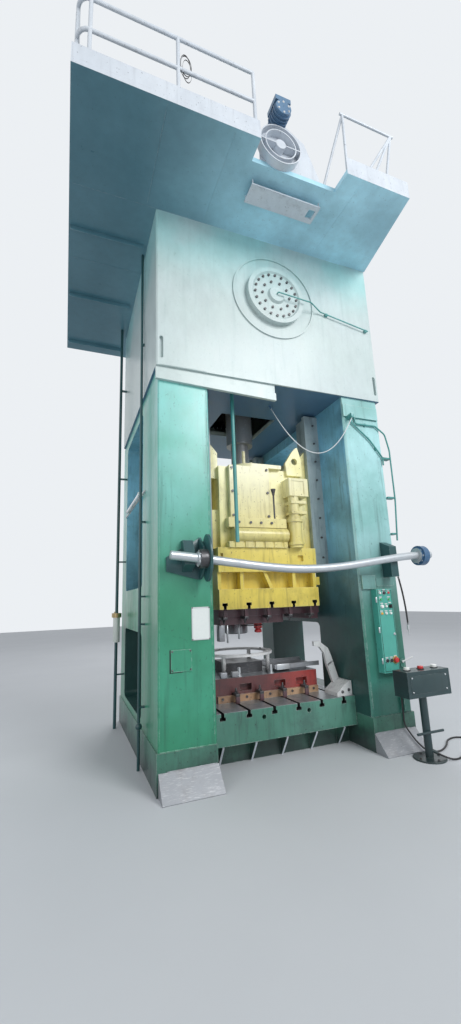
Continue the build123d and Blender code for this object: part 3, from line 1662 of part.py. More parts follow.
# Two-hand pedestal: round plate, post, footrest and a head with three caps on it
with BuildPart() as pedestal:
    post(pedestal_x, pedestal_y, 0, pedestal_plate, pedestal_plate_radius)
    chamfer(pedestal.edges().group_by(Axis.Z)[-1], pedestal_plate / 3)
    post(pedestal_x, pedestal_y, pedestal_plate, head_bottom, post_radius)
    round_x(
        pedestal_y - post_radius - footrest_radius, footrest_height,
        pedestal_x - footrest_length / 2, pedestal_x + footrest_length / 2, footrest_radius,
    )
    box(
        pedestal_x - 2 * footrest_radius, pedestal_x + 2 * footrest_radius,
        pedestal_y - post_radius - footrest_radius, pedestal_y,
        footrest_height - footrest_radius / 2, footrest_height + footrest_radius / 2,
    )
    box(
        head_left, head_left + head_width, head_front, head_front + head_depth,
        head_bottom, head_top,
    )
    gland(cable_route[::-1], post_radius + cable_gland_radius)
    with BuildSketch(Plane.XY.offset(head_top)):
        for cap_x in cap_spots.values():
            with Locations((cap_x, pedestal_y)):
                Circle(cap_radius / 2 + turn_gap)
    extrude(amount=-cap_height, mode=Mode.SUBTRACT)
pedestal.part.label = "pedestal"
export_step(pedestal.part, "parts/pedestal.step")

for name, cap_x in cap_spots.items():
    with BuildPart() as cap:
        post(
            cap_x, pedestal_y, head_top + cap_stroke + turn_gap, head_top + cap_height, cap_radius
        )
        fillet(cap.edges().group_by(Axis.Z)[-1], cap_height / 4)
        post(
            cap_x, pedestal_y, head_top - cap_height + cap_stroke + turn_gap,
            head_top + cap_stroke + turn_gap, cap_radius / 2,
        )
    cap.part.label = name
    export_step(cap.part, f"parts/{name}.step")

# Conduit with a ball valve up the left flank and the air pipe behind it, both with clips
with BuildPart() as flank_pipes:
    post(front_pipe_x, front_pipe_y, 0, deck_bottom, flank_pipe_radius)
    for clip_z in flank_clips:
        clip_face = -crown_half if clip_z > crown_bottom else -frame_half
        box(
            front_pipe_x, clip_face, front_pipe_y - clip_half, front_pipe_y + clip_half,
            clip_z, clip_z + clip_half,
        )
    with Locations((front_pipe_x, front_pipe_y, ball_z)):
        Sphere(2.2 * flank_pipe_radius)
    post(rear_pipe_x, rear_pipe_y, 0, air_head_bottom, air_pipe_radius)
    post(rear_pipe_x, rear_pipe_y, air_head_top, deck_bottom, air_pipe_radius)
    for clip_z in air_clips:
        clip_face = -crown_half if clip_z > crown_bottom else -frame_half
        box(
            rear_pipe_x, clip_face, rear_pipe_y - clip_half, rear_pipe_y + clip_half,
            clip_z, clip_z + clip_half,
        )
flank_pipes.part.label = "flank_pipes"
export_step(flank_pipes.part, "parts/flank_pipes.step")

# Tube lamp along the left flank on its carrier
lamp_x = -frame_half - 2.4 * lamp_tube_radius
with BuildPart() as flank_lamp:
    box(
        -frame_half - lamp_tube_radius, -frame_half, lamp_carrier_front, lamp_carrier_rear,
        lamp_z - lamp_tube_radius / 2, lamp_z + lamp_tube_radius / 2,
    )
    for cap_y in (lamp_front - 2 * clip_half, lamp_rear):
        box(
            lamp_x - lamp_tube_radius, -frame_half, cap_y, cap_y + 2 * clip_half,
            lamp_z - clip_half, lamp_z + clip_half,
        )
    round_y(lamp_x, lamp_z, lamp_front, lamp_rear, lamp_tube_radius)
flank_lamp.part.label = "flank_lamp"
export_step(flank_lamp.part, "parts/flank_lamp.step")

# Two-bowl service unit in the air pipe
with BuildPart() as air_unit:
    for side in (-1, 1):
        post(
            rear_pipe_x, rear_pipe_y + side * bowl_reach, air_head_bottom, air_head_top,
            air_head_radius,
        )
    box(
        rear_pipe_x - air_head_radius / 2, rear_pipe_x + air_head_radius / 2,
        rear_pipe_y - bowl_reach, rear_pipe_y + bowl_reach, air_head_bottom, air_head_top,
    )
    post(
        rear_pipe_x, rear_pipe_y + bowl_reach, air_head_top, air_head_top + clip_half,
        air_head_radius / 2,
    )
    for side in (-1, 1):
        post(
            rear_pipe_x, rear_pipe_y + side * bowl_reach, bowl_bottom, air_head_bottom,
            bowl_radius - air_pipe_radius / 2,
        )
air_unit.part.label = "air_unit"
export_step(air_unit.part, "parts/air_unit.step")

# Cords: the pedestal's cable on the floor, the hanging white cable and the air hose
with BuildPart() as control_cable:
    cord(cable_route, control_cable_radius)
control_cable.part.label = "control_cable"
export_step(control_cable.part, "parts/control_cable.step")

with BuildPart() as white_cable:
    cord(white_route, white_cable_radius)
white_cable.part.label = "white_cable"
export_step(white_cable.part, "parts/white_cable.step")

with BuildPart() as air_hose:
    cord(sagging(*hose_curve), hose_radius)
air_hose.part.label = "air_hose"
export_step(air_hose.part, "parts/air_hose.step")

with BuildPart() as hose_nozzle:
    nozzle_x, nozzle_y, hose_end = hose_curve[2]
    nozzle_top = hose_end - flat_gap
    post(nozzle_x, nozzle_y, nozzle_top - nozzle_length, nozzle_top, hose_radius * 1.4)
    post(
        nozzle_x, nozzle_y, nozzle_top - 2 * nozzle_length, nozzle_top - nozzle_length,
        hose_radius / 2,
    )
hose_nozzle.part.label = "hose_nozzle"
export_step(hose_nozzle.part, "parts/hose_nozzle.step")
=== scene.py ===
"""The looks of the trimming press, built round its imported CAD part."""

import math
import random

import bpy
from mathutils import Matrix, Vector


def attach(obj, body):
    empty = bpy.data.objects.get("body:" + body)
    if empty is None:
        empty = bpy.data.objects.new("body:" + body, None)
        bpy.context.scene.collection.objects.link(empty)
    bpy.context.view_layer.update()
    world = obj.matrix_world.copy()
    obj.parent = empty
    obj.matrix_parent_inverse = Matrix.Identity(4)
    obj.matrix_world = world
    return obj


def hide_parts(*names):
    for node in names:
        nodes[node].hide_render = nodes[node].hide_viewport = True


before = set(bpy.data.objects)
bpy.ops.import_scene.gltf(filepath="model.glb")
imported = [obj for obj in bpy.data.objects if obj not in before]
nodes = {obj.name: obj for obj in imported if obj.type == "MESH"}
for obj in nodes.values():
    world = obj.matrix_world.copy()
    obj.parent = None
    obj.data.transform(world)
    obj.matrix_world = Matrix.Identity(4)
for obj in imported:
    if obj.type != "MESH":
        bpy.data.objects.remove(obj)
scene = bpy.context.scene
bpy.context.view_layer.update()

# Camera at the photograph's viewing angle: place, right, up and view directions
camera_place = Vector((-2.3199, -5.4671, 1.6779))
camera_right = Vector((0.93132105, -0.36239132, -0.03624415))
camera_up = Vector((-0.04256494, -0.20714099, 0.97738469))
camera_ahead = Vector((0.36170338, 0.9087162, 0.20833993))
camera_lens = 14.65


def make_camera():
    data = bpy.data.cameras.new("camera")
    data.sensor_fit = "VERTICAL"
    data.sensor_height = 36
    data.lens = camera_lens
    data.clip_start = 0.05
    data.clip_end = 200
    camera = bpy.data.objects.new("camera", data)
    scene.collection.objects.link(camera)
    turn = Matrix((camera_right, camera_up, -camera_ahead)).transposed().to_4x4()
    camera.matrix_world = Matrix.Translation(camera_place) @ turn
    scene.camera = camera


make_camera()


def sagging(start, pull, end, count):
    """The points of a hanging cord, as in the CAD source."""
    points = []
    for index in range(count + 1):
        t = index / count
        weights = ((1 - t) ** 2, 2 * t * (1 - t), t**2)
        points.append(
            tuple(sum(w * p[k] for w, p in zip(weights, (start, pull, end))) for k in range(3))
        )
    return points


def cord_curve(name, points, radius):
    """A smooth tube along points in millimetres; each point carries the radius, on a depth of 1."""
    data = bpy.data.curves.new(name, "CURVE")
    data.dimensions = "3D"
    data.bevel_depth = 1.0
    data.bevel_resolution = 5
    data.use_fill_caps = True
    spline = data.splines.new("NURBS")
    spline.points.add(len(points) - 1)
    for point, place in zip(spline.points, points):
        point.co = (place[0] / 1000, place[1] / 1000, place[2] / 1000, 1)
        point.radius = radius / 1000
    spline.order_u = 3
    spline.use_endpoint_u = True
    spline.resolution_u = 10
    made = bpy.data.objects.new(name, data)
    scene.collection.objects.link(made)
    return made


def metres(points):
    return [tuple(value / 1000 for value in point) for point in points]


cable_route = [
    (1322, -1396.3, 300), (1322, -1396.3, 240), (1334, -1445, 176), (1352, -1520, 94),
    (1390, -1600, 24), (1450, -1650, 9), (1560, -1660, 9),
    (1740, -1560, 9), (1900, -1420, 9), (2080, -1400, 9), (2150, -1540, 9), (2040, -1680, 9),
    (1840, -1720, 9), (1680, -1820, 9), (1560, -1905, 9), (1420, -1898, 9), (1345, -1810, 60),
]
white_route = sagging((151, -869, 4175), (640, -1140, 2950), (985, -1455, 3900), 12)
hose_route = sagging((1378, -1510, 1888), (1422, -1530, 1620), (1422, -1530, 1335), 5)


def curve_length(points):
    """Length of the rounded line that an order-3 curve takes through its hull, in metres."""
    ends = [Vector(p) for p in metres(points)]
    middles = [ends[0]]
    middles += [(a + b) / 2 for a, b in zip(ends[1:-1], ends[2:-1])]
    middles.append(ends[-1])
    length = 0
    for start, pull, end in zip(middles, ends[1:-1], middles[1:]):
        before = start
        for step in range(1, 21):
            t = step / 20
            here = start * (1 - t) ** 2 + pull * (2 * t * (1 - t)) + end * t**2
            length += (here - before).length
            before = here
    return length


def free_cord(name, points, radius, body, node, far_end, with_pieces=(), **facts):
    made = cord_curve(name, points, radius)
    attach(made, body)
    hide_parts(node)
    round(curve_length(points), 3)
    return made


stand_cable = free_cord(
    "stand_cable", cable_route, 9, "frame", "control_cable", "object", stiffness="stiff",
)
hanging_cable = free_cord(
    "hanging_cable", white_route, 6, "frame", "white_cable", "object", lay="hanging",
)
blow_hose = free_cord(
    "blow_hose", hose_route, 10, "frame", "air_hose", "fitting",
    with_pieces=[nodes["hose_nozzle"]], lay="hanging",
)


# Shader node groups: each effect is built once and placed in the finishes that use it
class Effect:
    """A shader node group with named sockets, and short ways to fill it."""

    def __init__(self, name, inputs, outputs):
        self.tree = bpy.data.node_groups.new(name, "ShaderNodeTree")
        for label, kind, value in inputs:
            socket = self.tree.interface.new_socket(name=label, in_out="INPUT", socket_type=kind)
            socket.default_value = value
        for label, kind in outputs:
            self.tree.interface.new_socket(name=label, in_out="OUTPUT", socket_type=kind)
        self.entry = self.tree.nodes.new("NodeGroupInput")
        self.exit = self.tree.nodes.new("NodeGroupOutput")

    def wanted(self, label):
        return self.entry.outputs[label]

    def give(self, label, source):
        self.tree.links.new(source, self.exit.inputs[label])


FLOAT, COLOUR, VECTOR = "NodeSocketFloat", "NodeSocketColor", "NodeSocketVector"


def feed(tree, socket, value):
    """Joins a socket to another one, or sets it to a number, vector or colour."""
    if isinstance(value, bpy.types.NodeSocket):
        tree.links.new(value, socket)
    else:
        socket.default_value = value


def metre_grid(tree, stretch=(1, 1, 1), shift=(0, 0, 0)):
    """Coordinates in metres on the piece, stretched along each axis."""
    place = tree.nodes.new("ShaderNodeTexCoord")
    mapping = tree.nodes.new("ShaderNodeMapping")
    mapping.inputs["Scale"].default_value = stretch
    mapping.inputs["Location"].default_value = shift
    tree.links.new(place.outputs["Object"], mapping.inputs["Vector"])
    return mapping.outputs["Vector"]


def cloudiness(tree, scale, detail=5.0, rough=0.55, stretch=(1, 1, 1), shift=(0, 0, 0)):
    """Fractal noise between about 0.2 and 0.8 on a stretched metre grid."""
    noise = tree.nodes.new("ShaderNodeTexNoise")
    tree.links.new(metre_grid(tree, stretch, shift), noise.inputs["Vector"])
    feed(tree, noise.inputs["Scale"], scale)
    noise.inputs["Detail"].default_value = detail
    noise.inputs["Roughness"].default_value = rough
    return noise.outputs["Fac"]


def step_up(tree, source, low, high):
    """0 below low, 1 above high and a smooth rise between them."""
    rise = tree.nodes.new("ShaderNodeMapRange")
    rise.interpolation_type = "SMOOTHSTEP"
    feed(tree, rise.inputs["Value"], source)
    feed(tree, rise.inputs["From Min"], low)
    feed(tree, rise.inputs["From Max"], high)
    return rise.outputs["Result"]


def calculate(tree, operation, first, second=0.0, third=None, clamp=False):
    """One step of arithmetic on sockets or numbers."""
    node = tree.nodes.new("ShaderNodeMath")
    node.operation = operation
    node.use_clamp = clamp
    feed(tree, node.inputs[0], first)
    feed(tree, node.inputs[1], second)
    if third is not None:
        feed(tree, node.inputs[2], third)
    return node.outputs["Value"]


def blend_colours(tree, amount, first, second):
    """The first colour, turned to the second by an amount from 0 to 1."""
    mix = tree.nodes.new("ShaderNodeMix")
    mix.data_type = "RGBA"
    feed(tree, mix.inputs["Factor"], amount)
    feed(tree, mix.inputs["A"], first)
    feed(tree, mix.inputs["B"], second)
    return mix.outputs["Result"]


def make_old_paint():
    """Brushed enamel that has faded in clouds and run down in dirty streaks."""
    effect = Effect(
        "old_paint",
        [
            ("Paint", COLOUR, (0.1, 0.4, 0.3, 1)), ("Faded", COLOUR, (0.3, 0.5, 0.45, 1)),
            ("Dirt", COLOUR, (0.05, 0.05, 0.05, 1)), ("Fade", FLOAT, 0.5),
            ("Streaks", FLOAT, 0.3), ("Specks", FLOAT, 0.3),
        ],
        [("Color", COLOUR), ("Gloss", FLOAT), ("Height", FLOAT)],
    )
    tree = effect.tree
    clouds = step_up(tree, cloudiness(tree, 0.8, 6), 0.38, 0.66)
    amount = calculate(tree, "MULTIPLY", clouds, effect.wanted("Fade"), clamp=True)
    colour = blend_colours(tree, amount, effect.wanted("Paint"), effect.wanted("Faded"))
    # Runs of dirt: noise that is drawn out along the height
    runs = cloudiness(tree, 3.0, 7, 0.6, (4.5, 4.5, 0.28), (3.1, 0.7, 0))
    runs = step_up(tree, runs, 0.52, 0.74)
    runs = calculate(tree, "MULTIPLY", runs, effect.wanted("Streaks"), clamp=True)
    colour = blend_colours(tree, runs, colour, effect.wanted("Dirt"))
    # Fine uneven tone of a brushed coat
    fine = cloudiness(tree, 9.0, 8, 0.65, (1, 1, 0.5))
    tone = calculate(tree, "MULTIPLY_ADD", fine, 0.34, 0.83)
    bright = tree.nodes.new("ShaderNodeVectorMath")
    bright.operation = "SCALE"
    tree.links.new(colour, bright.inputs[0])
    tree.links.new(tone, bright.inputs["Scale"])
    # Small dark specks where the coat is knocked
    specks = cloudiness(tree, 46.0, 3, 0.5, (1, 1, 0.7), (0.4, 1.9, 0))
    specks = step_up(tree, specks, 0.665, 0.70)
    specks = calculate(tree, "MULTIPLY", specks, effect.wanted("Specks"), clamp=True)
    colour = blend_colours(tree, specks, bright.outputs["Vector"], effect.wanted("Dirt"))
    effect.give("Color", colour)
    gloss = calculate(tree, "MULTIPLY_ADD", runs, 0.3, calculate(tree, "MULTIPLY_ADD", fine, 0.35, 0.16))
    effect.give("Gloss", calculate(tree, "ADD", gloss, calculate(tree, "MULTIPLY", amount, 0.12)))
    lumps = calculate(tree, "MULTIPLY_ADD", fine, 0.5, calculate(tree, "MULTIPLY", specks, -0.6))
    effect.give("Height", calculate(tree, "ADD", lumps, calculate(tree, "MULTIPLY", runs, 0.2)))
    return effect.tree


def make_edge_wear():
    """A ragged mask along a piece's outer edges."""
    effect = Effect(
        "edge_wear", [("Width", FLOAT, 0.01), ("Amount", FLOAT, 0.6)], [("Mask", FLOAT)]
    )
    tree = effect.tree
    bevel = tree.nodes.new("ShaderNodeBevel")
    bevel.samples = 4
    tree.links.new(effect.wanted("Width"), bevel.inputs["Radius"])
    facing = tree.nodes.new("ShaderNodeNewGeometry")
    dot = tree.nodes.new("ShaderNodeVectorMath")
    dot.operation = "DOT_PRODUCT"
    tree.links.new(bevel.outputs["Normal"], dot.inputs[0])
    tree.links.new(facing.outputs["Normal"], dot.inputs[1])
    edge = step_up(tree, calculate(tree, "SUBTRACT", 1.0, dot.outputs["Value"]), 0.03, 0.22)
    ragged = step_up(tree, cloudiness(tree, 14.0, 8, 0.7), 0.40, 0.58)
    mask = calculate(tree, "MULTIPLY", edge, ragged)
    effect.give("Mask", calculate(tree, "MULTIPLY", mask, effect.wanted("Amount"), clamp=True))
    return effect.tree


def make_floor_grime():
    """Dirt that fades out above the floor."""
    effect = Effect(
        "floor_grime", [("Reach", FLOAT, 0.6), ("Amount", FLOAT, 0.5)], [("Mask", FLOAT)]
    )
    tree = effect.tree
    parts = tree.nodes.new("ShaderNodeSeparateXYZ")
    tree.links.new(metre_grid(tree), parts.inputs["Vector"])
    ragged = cloudiness(tree, 2.6, 7, 0.6, (1, 1, 1.4), (7.7, 0, 0))
    height = calculate(tree, "DIVIDE", parts.outputs["Z"], effect.wanted("Reach"))
    low = calculate(tree, "SUBTRACT", calculate(tree, "MULTIPLY_ADD", ragged, 1.5, 0.25), height)
    mask = step_up(tree, low, 0.0, 0.9)
    effect.give("Mask", calculate(tree, "MULTIPLY", mask, effect.wanted("Amount"), clamp=True))
    return effect.tree


def make_painted_light_ramp():
    """Painted light and shade as a mask: 0 before the start and 1 past the end of a run along a
    direction, with a cloudy border.
    """
    effect = Effect(
        "painted_light_ramp",
        [("Direction", VECTOR, (0, 0, 1)), ("Start", FLOAT, 0.0), ("End", FLOAT, 6.0)],
        [("Mask", FLOAT)],
    )
    tree = effect.tree
    along = tree.nodes.new("ShaderNodeVectorMath")
    along.operation = "DOT_PRODUCT"
    tree.links.new(metre_grid(tree), along.inputs[0])
    tree.links.new(effect.wanted("Direction"), along.inputs[1])
    wander = calculate(tree, "MULTIPLY_ADD", cloudiness(tree, 0.7, 4), 0.9, -0.45)
    run = calculate(tree, "ADD", along.outputs["Value"], wander)
    effect.give("Mask", step_up(tree, run, effect.wanted("Start"), effect.wanted("End")))
    return effect.tree


def make_oil_smears():
    """Grease that was wiped and has run down, as a mask."""
    effect = Effect("oil_smears", [("Size", FLOAT, 2.0), ("Amount", FLOAT, 0.5)], [("Mask", FLOAT)])
    tree = effect.tree
    patches = step_up(tree, cloudiness(tree, effect.wanted("Size"), 7, 0.62), 0.50, 0.68)
    drips = cloudiness(tree, 5.0, 6, 0.6, (3.0, 3.0, 0.4), (0, 5.3, 1.7))
    drips = step_up(tree, drips, 0.55, 0.7)
    both = calculate(tree, "MAXIMUM", patches, drips)
    effect.give("Mask", calculate(tree, "MULTIPLY", both, effect.wanted("Amount"), clamp=True))
    return effect.tree


def make_worn_metal():
    """Handled steel: darker mottles, fine scratches and a few rusty spots."""
    effect = Effect(
        "worn_metal",
        [
            ("Metal", COLOUR, (0.5, 0.5, 0.5, 1)), ("Stain", COLOUR, (0.2, 0.16, 0.13, 1)),
            ("Stains", FLOAT, 0.4), ("Scratches", FLOAT, 0.5),
        ],
        [("Color", COLOUR), ("Gloss", FLOAT), ("Height", FLOAT), ("Clean", FLOAT)],
    )
    tree = effect.tree
    mottle = cloudiness(tree, 3.2, 8, 0.66)
    stained = step_up(tree, mottle, 0.47, 0.70)
    stained = calculate(tree, "MULTIPLY", stained, effect.wanted("Stains"), clamp=True)
    scratch = cloudiness(tree, 30.0, 4, 0.6, (0.5, 6.0, 6.0), (2.2, 0, 0))
    scratch = step_up(tree, scratch, 0.56, 0.68)
    scratch = calculate(tree, "MULTIPLY", scratch, effect.wanted("Scratches"), clamp=True)
    colour = blend_colours(tree, stained, effect.wanted("Metal"), effect.wanted("Stain"))
    colour = blend_colours(tree, calculate(tree, "MULTIPLY", scratch, 0.45), colour, (0.9, 0.9, 0.9, 1))
    effect.give("Color", colour)
    rough = calculate(tree, "MULTIPLY_ADD", mottle, 0.35, 0.16)
    effect.give("Gloss", calculate(tree, "MULTIPLY_ADD", stained, 0.35, rough))
    effect.give("Height", calculate(tree, "MULTIPLY_ADD", scratch, -0.4, mottle))
    effect.give("Clean", calculate(tree, "SUBTRACT", 1.0, stained))
    return effect.tree


old_paint = make_old_paint()
edge_wear = make_edge_wear()
floor_grime = make_floor_grime()
painted_light_ramp = make_painted_light_ramp()
oil_smears = make_oil_smears()
worn_metal = make_worn_metal()


def place_effect(tree, effect, **values):
    """Puts an effect in a finish with its own values; names are written with small letters."""
    made = tree.nodes.new("ShaderNodeGroup")
    made.node_tree = effect
    for key, value in values.items():
        feed(tree, made.inputs[key.capitalize()], value)
    return made.outputs


def opaque(colour):
    return (*colour, 1.0)


def finish_start(name, metallic=0.0, coat=0.0):
    material = bpy.data.materials.new(name)
    material.use_nodes = True
    shader = material.node_tree.nodes["Principled BSDF"]
    shader.inputs["Metallic"].default_value = metallic
    shader.inputs["Coat Weight"].default_value = coat
    shader.inputs["Coat Roughness"].default_value = 0.15
    return material, material.node_tree, shader


def raise_surface(tree, shader, height, strength, distance=0.002):
    bump = tree.nodes.new("ShaderNodeBump")
    bump.inputs["Strength"].default_value = strength
    bump.inputs["Distance"].default_value = distance
    tree.links.new(height, bump.inputs["Height"])
    tree.links.new(bump.outputs["Normal"], shader.inputs["Normal"])


def enamel(
    name, paint, faded, under=(0.5, 0.55, 0.5), dirt=(0.03, 0.05, 0.045), fade=0.5, streaks=0.25,
    specks=0.5, wear=0.5, width=0.012, grime=0.0, reach=0.5, coat=0.15, painted_light_shade_colour=None, run=(1.0, 6.5),
    direction=(0, 0, 1), smears=0.0,
):
    """Old machine enamel. painted_light_shade_colour is the colour that it turns to over a run along a
    direction: painted light and shade across the piece.
    """
    material, tree, shader = finish_start(name, coat=coat)
    base = opaque(paint)
    # Painted light and shade: the paint turns to another colour over a run along a direction.
    if painted_light_shade_colour:
        light_shade_mask = place_effect(tree, painted_light_ramp, direction=direction, start=run[0], end=run[1])
        base = blend_colours(tree, light_shade_mask["Mask"], opaque(paint), opaque(painted_light_shade_colour))
    coatings = place_effect(
        tree, old_paint, paint=base, faded=opaque(faded), dirt=opaque(dirt), fade=fade,
        streaks=streaks, specks=specks,
    )
    colour = coatings["Color"]
    if smears:
        oil = place_effect(tree, oil_smears, size=2.4, amount=smears)
        colour = blend_colours(tree, oil["Mask"], colour, opaque(dirt))
    if grime:
        low = place_effect(tree, floor_grime, reach=reach, amount=grime)
        colour = blend_colours(tree, low["Mask"], colour, opaque(dirt))
    worn = place_effect(tree, edge_wear, width=width, amount=wear)
    colour = blend_colours(tree, worn["Mask"], colour, opaque(under))
    tree.links.new(colour, shader.inputs["Base Color"])
    tree.links.new(coatings["Gloss"], shader.inputs["Roughness"])
    height = calculate(tree, "MULTIPLY_ADD", worn["Mask"], -0.5, coatings["Height"])
    raise_surface(tree, shader, height, 0.25)
    return material


def bare_metal(name, metal, stain, stains=0.4, scratches=0.5, wear=0.3, metallic=0.9):
    """Steel or iron without paint, bright where it is handled."""
    material, tree, shader = finish_start(name)
    worn = place_effect(
        tree, worn_metal, metal=opaque(metal), stain=opaque(stain), stains=stains,
        scratches=scratches,
    )
    edges = place_effect(tree, edge_wear, width=0.006, amount=wear)
    colour = blend_colours(tree, edges["Mask"], worn["Color"], (0.85, 0.86, 0.88, 1))
    tree.links.new(colour, shader.inputs["Base Color"])
    tree.links.new(worn["Gloss"], shader.inputs["Roughness"])
    tree.links.new(
        calculate(tree, "MULTIPLY", worn["Clean"], metallic), shader.inputs["Metallic"]
    )
    raise_surface(tree, shader, worn["Height"], 0.2)
    return material


def moulded(name, colour, roughness=0.35, coat=0.3, sheen_noise=0.15):
    """Plastic, rubber or cable sheath with a faint uneven gloss."""
    material, tree, shader = finish_start(name, coat=coat)
    fine = cloudiness(tree, 60.0, 4)
    tone = blend_colours(
        tree, calculate(tree, "MULTIPLY", fine, sheen_noise), opaque(colour),
        opaque(tuple(min(1.0, value * 1.6 + 0.05) for value in colour)),
    )
    tree.links.new(tone, shader.inputs["Base Color"])
    rough = calculate(tree, "MULTIPLY_ADD", fine, 0.3, roughness - 0.15)
    tree.links.new(rough, shader.inputs["Roughness"])
    raise_surface(tree, shader, fine, 0.1, 0.0005)
    return material


# Finishes
# Crown: the green is made pale as painted glare, and it turns more teal towards the top as painted shade
# under the deck.
crown_green_glare_shade = enamel(
    "crown_green_glare_shade", (0.48, 0.575, 0.56), (0.52, 0.60, 0.61), under=(0.45, 0.52, 0.50),
    dirt=(0.16, 0.30, 0.29), fade=0.7, streaks=0.16, specks=0.2, wear=0.4,
    painted_light_shade_colour=(0.34, 0.62, 0.62), run=(5.15, 6.25),
)
# Left upright: paler towards the top, painted haze and glare.
left_green = enamel(
    "left_green", (0.026, 0.23, 0.125), (0.05, 0.34, 0.22), under=(0.42, 0.60, 0.54),
    dirt=(0.012, 0.05, 0.04), fade=0.6, streaks=0.34, specks=0.35, wear=0.75, width=0.016,
    grime=0.55, reach=0.45, painted_light_shade_colour=(0.20, 0.56, 0.52), run=(1.4, 3.7), coat=0.25,
)
# Right upright: a darker copy of the same green as painted shade, paler towards the top as painted
# glare.
right_green = enamel(
    "right_green", (0.028, 0.135, 0.095), (0.06, 0.27, 0.22), under=(0.48, 0.60, 0.56),
    dirt=(0.012, 0.04, 0.04), fade=0.55, streaks=0.34, specks=0.35, wear=0.75, width=0.016,
    grime=0.55, reach=0.45, painted_light_shade_colour=(0.40, 0.70, 0.72), run=(1.2, 2.8), coat=0.25,
)
base_green = enamel(
    "base_green", (0.05, 0.17, 0.12), (0.10, 0.26, 0.20), under=(0.32, 0.36, 0.34),
    dirt=(0.022, 0.032, 0.034), fade=0.5, streaks=0.3, specks=0.8, wear=0.7, grime=0.85,
    reach=0.34, smears=0.35,
)
bolster_green = enamel(
    "bolster_green", (0.06, 0.20, 0.145), (0.12, 0.30, 0.24), under=(0.46, 0.50, 0.48),
    dirt=(0.03, 0.045, 0.045), fade=0.6, streaks=0.35, specks=0.8, wear=0.85, width=0.014,
    grime=0.3, reach=0.3, smears=0.45,
)
panel_green = enamel(
    "panel_green", (0.06, 0.36, 0.29), (0.12, 0.46, 0.40), under=(0.5, 0.6, 0.55),
    dirt=(0.03, 0.09, 0.08), fade=0.5, streaks=0.2, specks=0.5, wear=0.6, width=0.006,
    coat=0.35,
)
stand_green = enamel(
    "stand_green", (0.014, 0.036, 0.042), (0.03, 0.065, 0.068), under=(0.35, 0.42, 0.40),
    dirt=(0.02, 0.03, 0.03), fade=0.5, streaks=0.2, specks=0.6, wear=0.6, width=0.006, grime=0.6,
    reach=0.2, coat=0.2,
)
# Deck underside: dark teal paint made bluer and darker as painted shade, turning pale blue towards the
# right as painted glare.
deck_shade_glare_blue = enamel(
    "deck_shade_glare_blue", (0.075, 0.185, 0.235), (0.12, 0.25, 0.31), under=(0.42, 0.50, 0.54),
    dirt=(0.05, 0.10, 0.12), fade=0.45, streaks=0.0, specks=0.25, wear=0.4,
    painted_light_shade_colour=(0.50, 0.84, 0.98), run=(-2.0, 0.2), direction=(1, 0, 0),
)
rail_grey = enamel(
    "rail_grey", (0.55, 0.60, 0.66), (0.66, 0.70, 0.74), under=(0.30, 0.27, 0.25),
    dirt=(0.22, 0.24, 0.27), fade=0.5, streaks=0.3, specks=0.6, wear=0.4, width=0.006,
)
# Slide: brighter and paler towards the top, painted light against the crown's shade.
slide_yellow = enamel(
    "slide_yellow", (0.78, 0.62, 0.10), (0.86, 0.74, 0.24), under=(0.82, 0.78, 0.55),
    dirt=(0.16, 0.12, 0.035), fade=0.55, streaks=0.4, specks=0.75, wear=0.7, width=0.012,
    painted_light_shade_colour=(1.00, 0.95, 0.52), run=(2.1, 2.8), smears=0.30, coat=0.3,
)
# Worm housing: paler towards the top, painted light as on the slide.
housing_yellow = enamel(
    "housing_yellow", (0.74, 0.64, 0.22), (0.82, 0.76, 0.42), under=(0.86, 0.83, 0.66),
    dirt=(0.22, 0.17, 0.06), fade=0.6, streaks=0.35, specks=0.6, wear=0.6, width=0.01,
    painted_light_shade_colour=(0.82, 0.78, 0.48), run=(2.4, 3.2), smears=0.3, coat=0.3,
)
gib_cream = enamel(
    "gib_cream", (0.28, 0.36, 0.38), (0.40, 0.48, 0.50), under=(0.50, 0.54, 0.56),
    dirt=(0.07, 0.10, 0.12), fade=0.7, streaks=0.5, specks=0.6, wear=0.6, width=0.01,
    smears=0.45,
)
tool_maroon = enamel(
    "tool_maroon", (0.10, 0.045, 0.055), (0.15, 0.085, 0.095), under=(0.32, 0.29, 0.30),
    dirt=(0.03, 0.03, 0.035), fade=0.5, streaks=0.35, specks=0.7, wear=0.6, width=0.008,
    smears=0.5,
)
# Lower shoe: dark at the left and brighter red towards the right, painted shade and light.
tool_red = enamel(
    "tool_red", (0.13, 0.045, 0.045), (0.22, 0.09, 0.08), under=(0.45, 0.40, 0.38),
    dirt=(0.045, 0.035, 0.038), fade=0.5, streaks=0.4, specks=0.7, wear=0.7, width=0.008,
    smears=0.55, painted_light_shade_colour=(0.44, 0.04, 0.035), run=(-0.2, 0.6), direction=(1, 0, 0),
)
strip_tan = enamel(
    "strip_tan", (0.42, 0.24, 0.13), (0.56, 0.38, 0.24), under=(0.55, 0.52, 0.50),
    dirt=(0.06, 0.04, 0.04), fade=0.7, streaks=0.5, specks=0.7, wear=0.8, width=0.008,
    smears=0.5,
)
bracket_dark = enamel(
    "bracket_dark", (0.018, 0.07, 0.075), (0.03, 0.11, 0.12), under=(0.20, 0.34, 0.34),
    dirt=(0.010, 0.02, 0.022), fade=0.5, streaks=0.3, specks=0.4, wear=0.7, width=0.010,
)
pipe_teal = enamel(
    "pipe_teal", (0.05, 0.26, 0.24), (0.14, 0.42, 0.42), under=(0.35, 0.45, 0.45),
    dirt=(0.02, 0.08, 0.09), fade=0.6, streaks=0.3, specks=0.3, wear=0.5, width=0.004,
)
